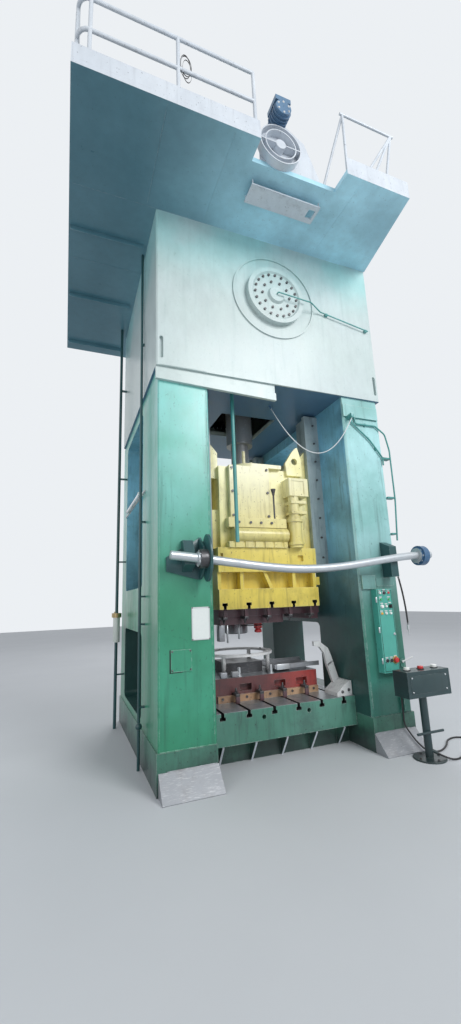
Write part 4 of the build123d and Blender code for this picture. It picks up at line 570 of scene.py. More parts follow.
# Inner faces of the uprights: a dark copy of the upright green as painted shade, lighter towards the top
# as painted light.
upright_inner_shade = enamel(
    "upright_inner_shade", (0.016, 0.06, 0.055), (0.03, 0.11, 0.10), under=(0.20, 0.36, 0.38),
    dirt=(0.010, 0.025, 0.03), fade=0.5, streaks=0.4, specks=0.4, wear=0.6, width=0.014, grime=0.5,
    painted_light_shade_colour=(0.26, 0.62, 0.86), run=(1.2, 2.8), smears=0.3,
)
# Crown underside: dark blue painted shadow.
shade_blue = enamel(
    "shade_blue", (0.075, 0.16, 0.27), (0.10, 0.20, 0.31), under=(0.16, 0.22, 0.28),
    dirt=(0.03, 0.06, 0.10), fade=0.5, streaks=0.0, specks=0.3, wear=0.3,
)
pale_paint = enamel(
    "pale_paint", (0.66, 0.68, 0.68), (0.74, 0.75, 0.74), under=(0.30, 0.28, 0.27),
    dirt=(0.20, 0.20, 0.21), fade=0.4, streaks=0.3, specks=0.6, wear=0.4, width=0.006,
    smears=0.2,
)
# Ring stand: white paint made brighter as a painted highlight.
ring_white_and_highlight = enamel(
    "ring_white_and_highlight", (0.80, 0.80, 0.80), (0.86, 0.86, 0.86), under=(0.30, 0.28, 0.27),
    dirt=(0.20, 0.20, 0.21), fade=0.4, streaks=0.2, specks=0.4, wear=0.4, width=0.006,
)
unit_blue = enamel(
    "unit_blue", (0.05, 0.13, 0.25), (0.12, 0.24, 0.36), under=(0.35, 0.38, 0.42),
    dirt=(0.03, 0.05, 0.08), fade=0.5, streaks=0.25, specks=0.5, wear=0.5, width=0.006,
)
bar_steel = bare_metal("bar_steel", (0.56, 0.60, 0.63), (0.30, 0.31, 0.32), 0.45, 0.6, metallic=0.55)
plate_steel = bare_metal(
    "plate_steel", (0.33, 0.345, 0.37), (0.20, 0.185, 0.18), 0.5, 0.7, metallic=0.45
)
bright_steel = bare_metal(
    "bright_steel", (0.62, 0.64, 0.66), (0.25, 0.24, 0.24), 0.35, 0.5, metallic=0.85
)
dark_iron = bare_metal(
    "dark_iron", (0.085, 0.085, 0.09), (0.045, 0.035, 0.03), 0.6, 0.3, metallic=0.6
)
worn_top = bare_metal("worn_top", (0.34, 0.37, 0.39), (0.10, 0.10, 0.10), 0.6, 0.6, metallic=0.6)
old_bronze = bare_metal("old_bronze", (0.45, 0.34, 0.17), (0.16, 0.11, 0.06), 0.5, 0.3)
black_rubber = moulded("black_rubber", (0.018, 0.018, 0.02), 0.6, 0.0)
black_plastic = moulded("black_plastic", (0.02, 0.02, 0.022), 0.35)
white_plastic = moulded("white_plastic", (0.80, 0.82, 0.80), 0.3)
white_sheath = moulded("white_sheath", (0.74, 0.77, 0.79), 0.45, 0.1)
red_plastic = moulded("red_plastic", (0.55, 0.03, 0.03), 0.3)
green_plastic = moulded("green_plastic", (0.03, 0.42, 0.14), 0.3)
amber_plastic = moulded("amber_plastic", (0.72, 0.36, 0.03), 0.3)
notice_white = moulded("notice_white", (0.66, 0.72, 0.70), 0.5, 0.1, 0.3)
label_silver = moulded("label_silver", (0.55, 0.57, 0.58), 0.35, 0.2)
clear_bowl = moulded("clear_bowl", (0.55, 0.60, 0.56), 0.12, 0.8)
lamp_glass = moulded("lamp_glass", (0.85, 0.88, 0.90), 0.15, 0.6, 0.05)

node_finishes = (
    (crown_green_glare_shade, "crown crank_cover"),
    (left_green, "left_upright"),
    (right_green, "right_upright column_fittings"),
    (bracket_dark, "bar_brackets flank_pipes"),
    (pipe_teal, "lube_pipes"),
    (base_green, "base"),
    (bolster_green, "bolster"),
    (panel_green, "control_panel"),
    (stand_green, "pedestal"),
    (deck_shade_glare_blue, "deck"),
    (rail_grey, "toe_boards handrails brake_guard brake_wheel"),
    (slide_yellow, "slide"),
    (housing_yellow, "worm_housing top_flange adjuster"),
    (gib_cream, "gibs"),
    (tool_maroon, "upper_tool"),
    (tool_red, "lower_shoe"),
    (ring_white_and_highlight, "ring_stand"),
    (pale_paint, "gauge_stand isolator_lever"),
    (unit_blue, "motor brake_motor"),
    (bar_steel, "front_bar"),
    (plate_steel, "foot_covers flash_tray lower_rod"),
    (bright_steel, "tie_rods drive_shaft crankshaft hose_nozzle"),
    (dark_iron, "frame_bolts housing_fittings flywheel motor_pulley main_gear rod_eye"),
    (old_bronze, "crank_bushes air_unit"),
    (black_rubber, "drive_belts control_cable air_hose"),
    (white_sheath, "white_cable"),
    (black_plastic, "run_button up_button down_button mode_selector"),
    (white_plastic, "inch_button panel_lamps left_hand_cap right_hand_cap"),
    (red_plastic, "stop_button stand_stop_cap"),
    (lamp_glass, "flank_lamp"),
)
for finish, names in node_finishes:
    for name in names.split():
        nodes[name].data.materials.clear()
        nodes[name].data.materials.append(finish)
for cord, finish in (
    (stand_cable, black_rubber), (hanging_cable, white_sheath), (blow_hose, black_rubber),
):
    cord.data.materials.append(finish)


def repaint(name, finish, chosen):
    """Gives those faces of a node whose middle is chosen a finish of their own."""
    mesh = nodes[name].data
    mesh.materials.append(finish)
    for face in mesh.polygons:
        if chosen(face.center):
            face.material_index = len(mesh.materials) - 1


def span(name):
    """The low and high corner of a node of the part, in metres."""
    corners = [tuple(corner) for corner in nodes[name].bound_box]
    low = Vector([min(corner[k] for corner in corners) for k in range(3)])
    high = Vector([max(corner[k] for corner in corners) for k in range(3)])
    return low, high


def middle(name):
    """The middle of a node of the part, in metres."""
    low, high = span(name)
    return (low + high) / 2


# Ways of making the small pieces
def leave_edit_mode():
    if bpy.context.mode != "OBJECT":
        bpy.ops.object.mode_set(mode="OBJECT")


def free_hands():
    """Leaves edit mode with nothing selected."""
    leave_edit_mode()
    bpy.ops.object.select_all(action="DESELECT")


def settle():
    """Puts the selected piece's place, turn and size in its mesh."""
    bpy.ops.object.transform_apply(location=True, rotation=True, scale=True)


def edit_all():
    """Opens the active piece with all of it selected."""
    bpy.ops.object.mode_set(mode="EDIT")
    bpy.ops.mesh.select_all(action="SELECT")


def stand_along(place, facing):
    """Stands the active piece at a place, with its own Z along facing."""
    leave_edit_mode()
    piece = bpy.context.object
    piece.rotation_euler = Vector(facing).to_track_quat("Z", "Y").to_euler()
    piece.location = place


def finished(name, finish, body="frame", crease=35):
    """Puts the active piece's place in its mesh, and gives it a name, a finish and a body."""
    leave_edit_mode()
    settle()
    piece = bpy.context.object
    piece.name = name
    piece.data.materials.clear()
    piece.data.materials.append(finish)
    bpy.ops.object.shade_smooth_by_angle(angle=math.radians(crease))
    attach(piece, body)
    return piece


def start_block(low, high):
    """A plain block between two corners, open with all of it selected."""
    free_hands()
    centre = [(a + b) / 2 for a, b in zip(low, high)]
    size = [b - a for a, b in zip(low, high)]
    bpy.ops.mesh.primitive_cube_add(size=1, location=centre, scale=size)
    settle()
    edit_all()


def block(name, low, high, finish, body="frame", edge=0.003):
    """A block between two corners with its edges rounded."""
    start_block(low, high)
    bpy.ops.mesh.bevel(offset=edge, segments=2, affect="EDGES")
    return finished(name, finish, body)


def gusset(name, low, high, cuts, finish):
    """A plate between two corners, cut off along slopes: a place and an outward direction each."""
    start_block(low, high)
    for place, outward in cuts:
        bpy.ops.mesh.select_all(action="SELECT")
        bpy.ops.mesh.bisect(plane_co=place, plane_no=outward, use_fill=True, clear_outer=True)
    bpy.ops.mesh.select_all(action="SELECT")
    bpy.ops.mesh.bevel(offset=0.003, segments=2, affect="EDGES")
    return finished(name, finish)


def turned(name, place, facing, steps, finish, body="frame", sides=28, crease=35):
    """A turned piece whose steps are radii and heights above its place, along facing."""
    free_hands()
    radius, height = steps[0]
    bpy.ops.mesh.primitive_circle_add(
        vertices=sides, radius=radius, fill_type="NGON", location=(0, 0, height)
    )
    settle()
    edit_all()
    for next_radius, next_height in steps[1:]:
        bpy.ops.mesh.extrude_region_move(
            TRANSFORM_OT_translate={"value": (0, 0, next_height - height)}
        )
        grow = next_radius / radius
        bpy.ops.transform.resize(value=(grow, grow, 1))
        radius, height = next_radius, next_height
    bpy.ops.mesh.select_all(action="SELECT")
    bpy.ops.mesh.normals_make_consistent(inside=False)
    stand_along(place, facing)
    return finished(name, finish, body, crease)


def ring(name, place, facing, radius, thickness, finish, body="frame", squeeze=1.0):
    """A round ring, drawn to an oval by squeeze."""
    free_hands()
    bpy.ops.mesh.primitive_torus_add(
        major_radius=radius, minor_radius=thickness, major_segments=36, minor_segments=8
    )
    edit_all()
    bpy.ops.transform.resize(value=(squeeze, 1, 1))
    stand_along(place, facing)
    return finished(name, finish, body, 60)


def oval_plate(name, place, facing, half_width, half_height, thickness, finish):
    """An oval flange plate whose height runs up the press."""
    free_hands()
    bpy.ops.mesh.primitive_circle_add(vertices=40, radius=1, fill_type="NGON")
    edit_all()
    bpy.ops.transform.resize(value=(half_width, half_height, 1))
    bpy.ops.mesh.extrude_region_move(TRANSFORM_OT_translate={"value": (0, 0, thickness)})
    bpy.ops.mesh.select_all(action="SELECT")
    bpy.ops.mesh.normals_make_consistent(inside=False)
    leave_edit_mode()
    bevel = bpy.context.object.modifiers.new("edge", "BEVEL")
    bevel.width = 0.004
    bevel.segments = 2
    bevel.limit_method = "ANGLE"
    bpy.ops.object.modifier_apply(modifier="edge")
    stand_along(place, facing)
    return finished(name, finish)


def joined(first, others):
    """Joins pieces of one finish and body to the first of them."""
    free_hands()
    for piece in [first, *others]:
        piece.select_set(True)
    bpy.context.view_layer.objects.active = first
    bpy.ops.object.join()
    return first


def repeated(piece, shifts):
    """Copies a piece by each shift, every copy with its own mesh, and joins them to one."""
    copies = []
    for shift in shifts:
        copy = piece.copy()
        copy.data = piece.data.copy()
        scene.collection.objects.link(copy)
        copy.location = shift
        copies.append(copy)
    return joined(piece, copies)


def at_each(piece, spots):
    """Moves a piece to the first spot, copies it to the others and joins them to one."""
    piece.location = spots[0]
    repeated(piece, spots[1:])
    settle()
    return piece


def hex_head(name, place, facing, size, height, finish, body="frame"):
    """A hexagon head on its washer."""
    return turned(
        name, place, facing,
        [(1.5 * size, 0), (1.5 * size, 0.15 * height), (size, 0.2 * height), (size, 0.9 * height),
         (0.82 * size, height)],
        finish, body, sides=6, crease=20,
    )


def bolt_circle(name, place, facing, across, radius, count, size, height, finish, turn=0.0):
    """Hexagon heads on a circle, counted from across; turn is a share of one step."""
    across = Vector(across).normalized()
    upward = Vector(facing).normalized().cross(across)
    heads = []
    for index in range(count):
        angle = 2 * math.pi * (index + turn) / count
        reach = (across * math.cos(angle) + upward * math.sin(angle)) * radius
        heads.append(hex_head(name, Vector(place) + reach, facing, size, height, finish))
    return joined(heads[0], heads[1:])


def rod(name, start, end, radius, finish, body="frame", sides=12):
    """A straight rod with softened ends."""
    run = Vector(end) - Vector(start)
    soft = 0.2 * radius
    tip = radius - soft
    steps = [(tip, 0), (radius, soft), (radius, run.length - soft), (tip, run.length)]
    return turned(name, start, run, steps, finish, body, sides=sides, crease=50)


def weld(name, start, end, radius, finish):
    """A weld bead: a thin rod whose thickness pulses along its run."""
    run = Vector(end) - Vector(start)
    count = max(6, int(run.length / 0.035))
    steps = [(0.4 * radius, 0)]
    for index in range(1, count):
        steps.append((radius * random.uniform(0.8, 1.1), run.length * index / count))
    steps.append((0.4 * radius, run.length))
    return turned(name, start, run, steps, finish, sides=8, crease=70)


def border(names, low, high, width, height, back, front, finish, edge):
    """Four bars just inside a rectangle on a plate: the top, bottom, left and right one."""
    left, bottom = low
    right, top = high
    bars = (
        (left, right, top - height, top), (left, right, bottom, bottom + height),
        (left, left + width, bottom, top), (right - width, right, bottom, top),
    )
    for name, (bar_left, bar_right, bar_bottom, bar_top) in zip(names, bars):
        block(name, (bar_left, front, bar_bottom), (bar_right, back, bar_top), finish, edge=edge)


def slot_clamps(name, columns, lip, heel, strap, bolt_end, body):
    """Straps on heel blocks, each with a bolt to its slot and a nut on its washer.

    heel and strap each hold a bottom and a top.
    """
    down = bolt_end < strap[0]
    seat, bolt_start = strap if down else reversed(strap)
    pieces = (
        block(
            name + "_straps", (-0.026, clamp_back, strap[0]), (0.026, lip, strap[1]), dark_iron,
            body, 0.004,
        ),
        block(
            name + "_heels", (-0.024, clamp_back, heel[0]), (0.024, clamp_back + 0.03, heel[1]),
            tool_maroon, body,
        ),
        rod(
            name + "_bolts", (0, clamp_bolt, bolt_start), (0, clamp_bolt, bolt_end), 0.011,
            dark_iron, body,
        ),
        hex_head(
            name + "_nuts", (0, clamp_bolt, seat), (0, 0, -1 if down else 1), 0.018, 0.024,
            dark_iron, body,
        ),
    )
    for piece in pieces:
        at_each(piece, [(x, 0, 0) for x in columns])


def cooling_fin(name, centre, angle):
    """A long thin fin that stands out from a motor's side."""
    start_block((-0.015, -0.28, -0.003), (0.015, 0.28, 0.003))
    bpy.ops.mesh.bevel(offset=0.0015, segments=1, affect="EDGES")
    leave_edit_mode()
    fin = bpy.context.object
    fin.rotation_euler = (0, -angle, 0)
    fin.location = centre + Vector((math.cos(angle), 0, math.sin(angle))) * fin_circle
    return finished(name, unit_blue)


random.seed(11)

# Corners of the nodes that the small pieces stand on
bolster_low, bolster_high = span("bolster")
slide_low = span("slide")[0]
shoe_high = span("lower_shoe")[1]
left_low, left_high = span("left_upright")
right_low, right_high = span("right_upright")
crown_low, crown_high = span("crown")
deck_low, deck_high = span("deck")
panel_low, panel_high = span("control_panel")
stand_high = span("pedestal")[1]
column_front = left_low.y
slot_pitch = 0.300
bar_y = round(middle("front_bar").y, 3)
bar_skin = 0.051


def on_collar(c, left, right, axis_z):
    """Whether a face of the front bar lies outside its tube, between two places along it."""
    return left < c.x < right and math.hypot(c.z - axis_z, c.y - bar_y) > bar_skin


# Nodes with more than one finish
repaint("bolster", worn_top, lambda c: c.z > bolster_high.z - 0.002)
repaint("bolster", dark_iron, lambda c: 0.46 < c.z < 0.537 and c.y > bolster_low.y + 0.002)
repaint("slide", bright_steel, lambda c: c.z < slide_low.z + 0.001)
repaint("slide", dark_iron, lambda c: 1.581 < c.z < 1.654 and c.y > slide_low.y + 0.002)
# Pale strips on the front edges of the base's ribs: painted highlight.
for rib_x in (-0.744, -0.372, 0, 0.372, 0.744):
    repaint("base", rail_grey, lambda c: abs(c.x - rib_x) < 0.008 and c.z < 0.24 and c.y < -0.85)
repaint("lower_shoe", strip_tan, lambda c: c.y < -0.671 and c.z < 0.62)
repaint("lower_shoe", worn_top, lambda c: c.z > shoe_high.z - 0.001)
repaint("upper_tool", plate_steel, lambda c: c.z < 1.33)
repaint("ring_stand", dark_iron, lambda c: c.z < 0.94)
# The inner faces of the uprights and of their side windows: painted shade.
repaint("right_upright", upright_inner_shade, lambda c: c.x < right_low.x + 0.001)
repaint("left_upright", upright_inner_shade, lambda c: c.x > left_high.x - 0.001)
for side in ("left_upright", "right_upright"):
    repaint(
        side, upright_inner_shade, lambda c: 0.92 < abs(c.x) < 1.47 and abs(c.y) < 1.36 and 0.36 < c.z < 4.20
    )
# The crown's faces below and behind its front: painted shadow.
repaint("crown", shade_blue, lambda c: c.z < 4.217 and c.y > -1.36)
repaint("column_fittings", notice_white, lambda c: c.x < -0.95 and 1.30 < c.z < 1.64)
repaint("column_fittings", left_green, lambda c: c.x < -1.14 and c.z < 1.25)
repaint("column_fittings", pipe_teal, lambda c: 2.3 < c.z < 3.945)
repaint("column_fittings", black_rubber, lambda c: 0.7 < c.z < 1.72 and 1.30 < c.x < 1.345)
repaint("front_bar", dark_iron, lambda c: on_collar(c, -1.12, -1.03, 2.09))
repaint("front_bar", unit_blue, lambda c: on_collar(c, 1.64, 1.77, 2.134))
repaint("air_unit", clear_bowl, lambda c: c.z < 1.49)
repaint("flank_lamp", pale_paint, lambda c: c.x > -1.50)
repaint("deck", rail_grey, lambda c: c.y < deck_low.y + 0.001 or c.x < deck_low.x + 0.001)
repaint("deck", plate_steel, lambda c: c.z > deck_high.z - 0.001)
repaint("crown", worn_top, lambda c: c.z > crown_high.z - 0.001)

# Clamps in the T-slots of the slide and of the bolster
clamp_back = -0.795
clamp_bolt = -0.735
slot_clamps(
    "slide_clamp", [slot_pitch * step for step in (-1.9, -1, 0, 1, 2)], lip=-0.645,
    heel=(1.492, 1.578), strap=(1.462, 1.490), bolt_end=1.415, body="ram",
)
slot_clamps(
    "bed_clamp", [slot_pitch * step for step in (-1.5, -0.5, 0.5, 1.5)], lip=-0.675,
    heel=(0.542, 0.614), strap=(0.616, 0.646), bolt_end=0.700, body="frame",
)
block("slide_cam", (0.668, -0.80, 1.835), (0.745, -0.735, 1.940), slide_yellow, "ram", 0.006)

# Tooling between the shoes: what hangs from the upper tool, and what stands on the lower shoe
tool_seat = 1.395
block("punch_plate", (-0.605, -0.660, 1.210), (-0.535, -0.560, tool_seat), plate_steel, "ram", 0.005)
for side, x, y, foot in (("left", -0.495, -0.640, 1.190), ("middle", -0.303, -0.530, 1.215)):
    rod(side + "_guide_pin", (x, y, tool_seat), (x, y, foot), 0.012, bright_steel, "ram")
turned(
    "spring_can", (0.000, -0.440, tool_seat), (0, 0, -1),
    [(0.040, 0), (0.052, 0.004), (0.052, 0.070), (0.034, 0.076), (0.034, 0.082), (0.047, 0.088),
     (0.047, 0.118), (0.020, 0.126)],
    red_plastic, "ram",
)
for side, x in (("left", -0.360), ("right", 0.060)):
    turned(
        side + "_stop_post", (x, -0.628, shoe_high.z), (0, 0, 1),
        [(0.036, 0), (0.036, 0.014), (0.022, 0.018), (0.022, 0.095), (0.016, 0.103)],
        bright_steel,
    )
parting_block = block(
    "parting_block", (-0.60, -0.66, 0.802), (-0.52, -0.60, 0.862), plate_steel, edge=0.005
)
repeated(parting_block, [(0.145, 0.01, 0)])
for index in range(3):
    ring(
        "punch_spring_%d" % index, (-0.05, -0.35, 1.365 + 0.035 * index), (0, 0, 1), 0.154, 0.006,
        dark_iron, "ram",
    )
for x, y in ((-0.583, -0.144), (-0.215, -0.640), (0.153, -0.144)):
    hex_head("ring_bolt", (x, y, 1.043), (0, 0, 1), 0.012, 0.010, dark_iron)

# Screws on the lower shoe, the tray's fold and the studs on the gauge stand
shoe_screws = turned(
    "shoe_screws", (-0.60, -0.694, 0.585), (0, -1, 0),
    [(0.014, 0), (0.014, 0.010), (0.009, 0.0105), (0.008, 0.004)], dark_iron, sides=20,
)
repeated(shoe_screws, [(slot_pitch * step, 0, 0) for step in (1, 2, 3, 4)])
tray_low, tray_high = span("flash_tray")
block(
    "tray_fold", (tray_low.x + 0.02, tray_low.y - 0.012, tray_low.z + 0.03),
    (tray_low.x + 0.20, tray_low.y + 0.002, tray_high.z + 0.004), bright_steel, edge=0.004,
)
gauge_low, gauge_high = span("gauge_stand")
gauge_studs = hex_head(
    "gauge_studs", (gauge_high.x - 0.045, gauge_low.y, 0.60), (0, -1, 0), 0.013, 0.014, dark_iron
)
repeated(gauge_studs, [(-0.09, 0, -0.015)])

# Control panel: the door's seam, hinges, lock, blank labels, bezels and lamp rims
panel_front = panel_low.y
border(
    ("panel_seam_top", "panel_seam_bottom", "panel_seam_left", "panel_seam_right"),
    (panel_low.x + 0.012, panel_low.z + 0.016), (panel_high.x - 0.012, panel_high.z - 0.016),
    0.004, 0.004, panel_front + 0.001, panel_front - 0.0025, black_rubber, edge=0.001,
)
hinges = turned(
    "panel_hinges", (panel_low.x - 0.004, panel_front + 0.012, panel_low.z + 0.10), (0, 0, 1),
    [(0.008, 0), (0.010, 0.003), (0.010, 0.030), (0.007, 0.031), (0.007, 0.033), (0.010, 0.034),
     (0.010, 0.061), (0.008, 0.064)],
    bright_steel, sides=16,
)
repeated(hinges, [(0, 0, 0.34), (0, 0, 0.68)])
turned(
    "panel_lock", (panel_high.x - 0.030, panel_front, panel_low.z + 0.42), (0, -1, 0),
    [(0.014, 0), (0.014, 0.008), (0.010, 0.011), (0.004, 0.011), (0.003, 0.004)], bright_steel,
)
labels = block(
    "panel_labels", (-0.020, panel_front - 0.0018, -0.006), (0.020, panel_front + 0.001, 0.006),
    label_silver, edge=0.0008,
)
label_spots = [
    (1.115, 1.732), (1.175, 1.738), (1.240, 1.732), (1.120, 1.656), (1.235, 1.656), (1.130, 1.585),
    (1.190, 1.577), (1.245, 1.590), (1.115, 1.497), (1.180, 1.497), (1.245, 1.497), (1.120, 0.983),
    (1.180, 0.983), (1.240, 0.995),
]
at_each(labels, [(x, 0, z) for x, z in label_spots])
bezels = ring("button_bezels", (0, panel_front - 0.001, 0), (0, -1, 0), 0.0205, 0.003, bright_steel)
pressed = [middle(name) for name in ("run_button", "inch_button", "up_button", "down_button")]
at_each(bezels, [(button.x, 0, button.z) for button in pressed])
rims = ring("lamp_rims", (0, panel_front - 0.001, 0), (0, -1, 0), 0.0145, 0.002, bright_steel)
lamp_spots = [
    (1.115, 1.705), (1.240, 1.705), (1.120, 1.630), (1.235, 1.630), (1.190, 1.550), (1.115, 1.470),
    (1.180, 1.470), (1.245, 1.470),
]
at_each(rims, [(x, 0, z) for x, z in lamp_spots])
stop = middle("stop_button")
ring("stop_collar", (stop.x, panel_front - 0.003, stop.z), (0, -1, 0), 0.037, 0.004, amber_plastic)
repaint("panel_lamps", green_plastic, lambda c: 1.61 < c.z < 1.65)
repaint("panel_lamps", red_plastic, lambda c: c.z > 1.69 and c.x > 1.20)
repaint("panel_lamps", amber_plastic, lambda c: c.z < 1.49 and c.x < 1.14)

# Two-hand stand: collars round the caps, a service cover and its screws, the foot's bolts
collars = ring("cap_collars", (0, 0, stand_high.z + 0.001), (0, 0, 1), 0.037, 0.004, black_rubber)
caps = [middle(name) for name in ("left_hand_cap", "stand_stop_cap", "right_hand_cap")]
at_each(collars, [(cap.x, cap.y, 0) for cap in caps])
stand_y = caps[0].y
stand_front = stand_y - 0.105
block(
    "stand_cover", (1.06, stand_front - 0.004, 0.66), (1.56, stand_front + 0.001, 0.84),
    stand_green, edge=0.0015,
)
cover_screws = hex_head(
    "stand_screws", (1.08, stand_front - 0.004, 0.68), (0, -1, 0), 0.006, 0.006, bright_steel
)
repeated(cover_screws, [(0.46, 0, 0), (0, 0, 0.14), (0.46, 0, 0.14)])
bolt_circle(
    "stand_foot_bolts", (1.292, stand_y, 0.014), (0, 0, 1), (1, 0, 0), 0.120, 4, 0.012, 0.012,
    dark_iron,
)

# Left bracket of the front bar: a flange on the bar, and a gusset and a web behind it; the gusset's dark
# plate also stands in for the shadow below and left of the bracket as painted shadow
oval_plate("left_bar_flange", (-1.034, -1.545, 2.104), (1, 0, 0), 0.145, 0.235, 0.026, bracket_dark)
flange_bolts = hex_head(
    "left_flange_bolts", (-1.008, -1.545, 2.295), (1, 0, 0), 0.014, 0.014, bright_steel
)
repeated(flange_bolts, [(0, 0.055, -0.06), (0, 0, -0.382), (0, 0.055, -0.322)])
# Dark gusset: partly a real gusset, partly painted shadow on the upright.
gusset(
    "left_bar_gusset_and_shadow", (-1.400, -1.396, 1.900), (-1.034, -1.371, 2.330),
    [((-1.39, 0, 2.13), (-0.50, 0, 0.87)), ((-1.39, 0, 1.98), (-0.25, 0, -0.97))], bracket_dark,
)
gusset(
    "left_bar_web", (-1.062, -1.545, 1.900), (-1.036, -1.371, 2.330),
    [((0, -1.545, 2.22), (0, -0.55, 0.83)), ((0, -1.545, 1.99), (0, -0.55, -0.83))], bracket_dark,
)
bolt_circle(
    "left_collar_bolts", (-1.116, bar_y, 2.096), (-1, 0, 0.11), (-0.11, 0, -1), 0.070, 6, 0.011,
    0.013, bright_steel,
)
bolt_circle(
    "right_collar_bolts", (1.660, bar_y, 2.128), (-1, 0, -0.07), (0.07, 0, -1), 0.086, 8, 0.011,
    0.013, bright_steel,
)
ring("bar_left_rim", (-1.398, bar_y, 2.125), (-1, 0, 0.11), 0.040, 0.004, dark_iron)

# Welds and plate joints on the frame
foot_line = left_low.z + 0.002
for side, low_x, high_x, finish in (
    ("left", left_low.x, left_high.x, left_green), ("right", right_low.x, right_high.x, right_green),
):
    weld(
        side + "_foot_weld", (low_x + 0.02, column_front - 0.001, foot_line),
        (high_x - 0.02, column_front - 0.001, foot_line), 0.006, finish,
    )
weld("crown_left_weld", (crown_low.x + 0.03, -1.409, 4.222), (-0.93, -1.409, 4.222), 0.006, crown_green_glare_shade)
for side, x, finish in (("left", -0.935, left_green), ("right", 0.935, right_green)):
    weld(
        side + "_plate_weld", (x, column_front - 0.0005, 0.42), (x, column_front - 0.0005, 4.10),
        0.004, finish,
    )
for side, low_x in (("left", -1.40), ("right", 0.92)):
    weld(
        side + "_cover_weld", (low_x, -1.386, 0.197), (low_x + 0.48, -1.386, 0.197), 0.005, plate_steel
    )
for index, x in enumerate((-1.62, -0.93, 0.62)):
    weld(
        "deck_seam_%d" % index, (x, deck_low.y + 0.03, deck_low.z), (x, -1.45, deck_low.z), 0.0045,
        deck_shade_glare_blue,
    )
weld("deck_side_seam", (-2.44, -0.35, deck_low.z), (-1.54, -0.35, deck_low.z), 0.0045, deck_shade_glare_blue)
weld("deck_cross_seam", (-2.44, -1.41, deck_low.z), (1.10, -1.41, deck_low.z), 0.0045, deck_shade_glare_blue)

# Stiffening angles under the deck's overhang at the left
for index, y in enumerate((-0.85, 0.35, 1.55)):
    block(
        "deck_angle_%d" % index, (deck_low.x + 0.02, y, deck_low.z - 0.060),
        (-1.56, y + 0.008, deck_low.z + 0.001), deck_shade_glare_blue, edge=0.003,
    )

# Blank notice's frame and screws
border(
    ("notice_upper", "notice_lower", "notice_outer", "notice_inner"), (-1.145, 1.313),
    (-0.957, 1.629), 0.010, 0.012, -1.3755, -1.3790, label_silver, edge=0.0012,
)
notice_screws = hex_head(
    "notice_screws", (-1.139, -1.3785, 1.320), (0, -1, 0), 0.005, 0.004, dark_iron
)
repeated(notice_screws, [(0.175, 0, 0), (0, 0, 0.302), (0.175, 0, 0.302)])

# Hatch plate on the left upright: black strips along its left and bottom edges as its painted shadow,
# and its screws
for name, corner in (("side", (-1.356, -1.369, 1.236)), ("foot", (-1.240, -1.369, 1.038))):
    block("hatch_%s_joint" % name, (-1.368, -1.374, 1.026), corner, black_rubber, edge=0.002)
hatch_screws = hex_head("hatch_screws", (-1.343, -1.380, 1.050), (0, -1, 0), 0.007, 0.006, dark_iron)
repeated(hatch_screws, [(0.179, 0, 0), (0, 0, 0.171), (0.179, 0, 0.171)])

# Motors: cooling fins on the sides, and the bolts of the end covers
shaft = middle("motor_pulley")
fin_circle = 0.262
fin_angles = [-22 + 11 * step for step in range(8)] + [202 - 11 * step for step in range(8)]
fins = [
    cooling_fin("motor_fin_%d" % index, Vector((shaft.x, 0.760, shaft.z)), math.radians(angle))
    for index, angle in enumerate(fin_angles)
]
joined(fins[0], fins[1:])
bolt_circle(
    "motor_end_bolts", (shaft.x, span("motor")[0].y, shaft.z), (0, -1, 0), (1, 0, 0), 0.20, 8,
    0.011, 0.010, bright_steel, turn=0.5,
)
unit_front = span("brake_motor")[0].y
bolt_circle(
    "unit_end_bolts", (middle("brake_motor").x, unit_front + 0.001, 6.876), (0, -1, 0), (1, 0, 0),
    0.070, 6, 0.009, 0.008, pale_paint, turn=0.5,
)

# Coil of thin wire hung on the front rail
turns = []
for index, (radius, squeeze, drop) in enumerate(
    ((0.150, 0.36, 0), (0.135, 0.42, 0.012), (0.160, 0.30, -0.006))
):
    turns.append(
        ring(
            "wire_coil_%d" % index,
            (-1.440 + 0.012 * index, -2.494 + 0.010 * index, 6.968 - radius + drop),
            (0.10, -1, 0.03 * index), radius, 0.004, black_rubber, squeeze=squeeze,
        )
    )
joined(turns[0], turns[1:])

# Collars welded where the front rail's posts stand on the deck
for index, x in enumerate((-2.435, -1.443, -0.70)):
    turned(
        "post_foot_front_%d" % index, (x, -2.492, deck_high.z), (0, 0, 1),
        [(0.032, 0), (0.032, 0.006), (0.024, 0.010), (0.020, 0.022)], rail_grey,
    )

# Air hose: clamps on both ends
for index, place in enumerate(((1.3785, -1.5105, 1.872), (1.4215, -1.530, 1.348))):
    ring("hose_clamp_%d" % index, place, (0, 0, 1), 0.0115, 0.003, bright_steel)


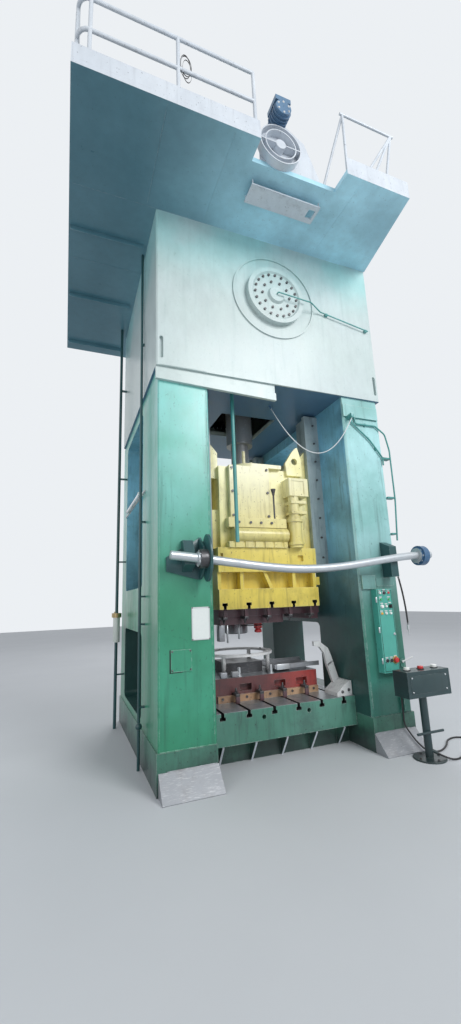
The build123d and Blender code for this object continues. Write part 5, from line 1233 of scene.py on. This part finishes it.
# Floor and light
def make_floor():
    bpy.ops.mesh.primitive_plane_add(size=60, location=(0, 0, 0))
    floor = bpy.context.object
    floor.name = "floor"
    material, tree, shader = finish_start("floor_paint")
    cloud = cloudiness(tree, 0.5, 6)
    colour = blend_colours(tree, cloud, (0.53, 0.55, 0.58, 1), (0.61, 0.63, 0.66, 1))
    tree.links.new(colour, shader.inputs["Base Color"])
    shader.inputs["Roughness"].default_value = 0.75
    floor.data.materials.append(material)


def area_light(name, place, aim, size, power):
    data = bpy.data.lights.new(name, "AREA")
    data.energy = power
    data.size = size
    light = bpy.data.objects.new(name, data)
    scene.collection.objects.link(light)
    light.location = place
    light.rotation_mode = "QUATERNION"
    light.rotation_quaternion = (Vector(aim) - Vector(place)).to_track_quat("-Z", "Y")


def pale_world():
    """Plain soft light from all round, seen as a pale wall by the camera and in metal."""
    world = bpy.data.worlds.new("studio")
    scene.world = world
    world.use_nodes = True
    tree = world.node_tree
    soft = tree.nodes["Background"]
    soft.inputs["Color"].default_value = (0.90, 0.93, 0.96, 1)
    soft.inputs["Strength"].default_value = 0.60
    wall = tree.nodes.new("ShaderNodeBackground")
    wall.inputs["Color"].default_value = (0.84, 0.87, 0.90, 1)
    rays = tree.nodes.new("ShaderNodeLightPath")
    seen = calculate(tree, "MAXIMUM", rays.outputs["Is Camera Ray"], rays.outputs["Is Glossy Ray"])
    seen = calculate(tree, "MAXIMUM", seen, rays.outputs["Is Transmission Ray"])
    mix = tree.nodes.new("ShaderNodeMixShader")
    tree.links.new(seen, mix.inputs["Fac"])
    tree.links.new(soft.outputs["Background"], mix.inputs[1])
    tree.links.new(wall.outputs["Background"], mix.inputs[2])
    tree.links.new(mix.outputs["Shader"], tree.nodes["World Output"].inputs["Surface"])


free_hands()
make_floor()
area_light("key", (4, -11, 9), (0, 0, 3), 5, 900)
area_light("fill", (-8, -6, 4), (0, 0, 3), 6, 160)
area_light("back", (3, 10, 11), (0, 0, 4), 6, 450)
pale_world()
scene.view_settings.view_transform = "Standard"
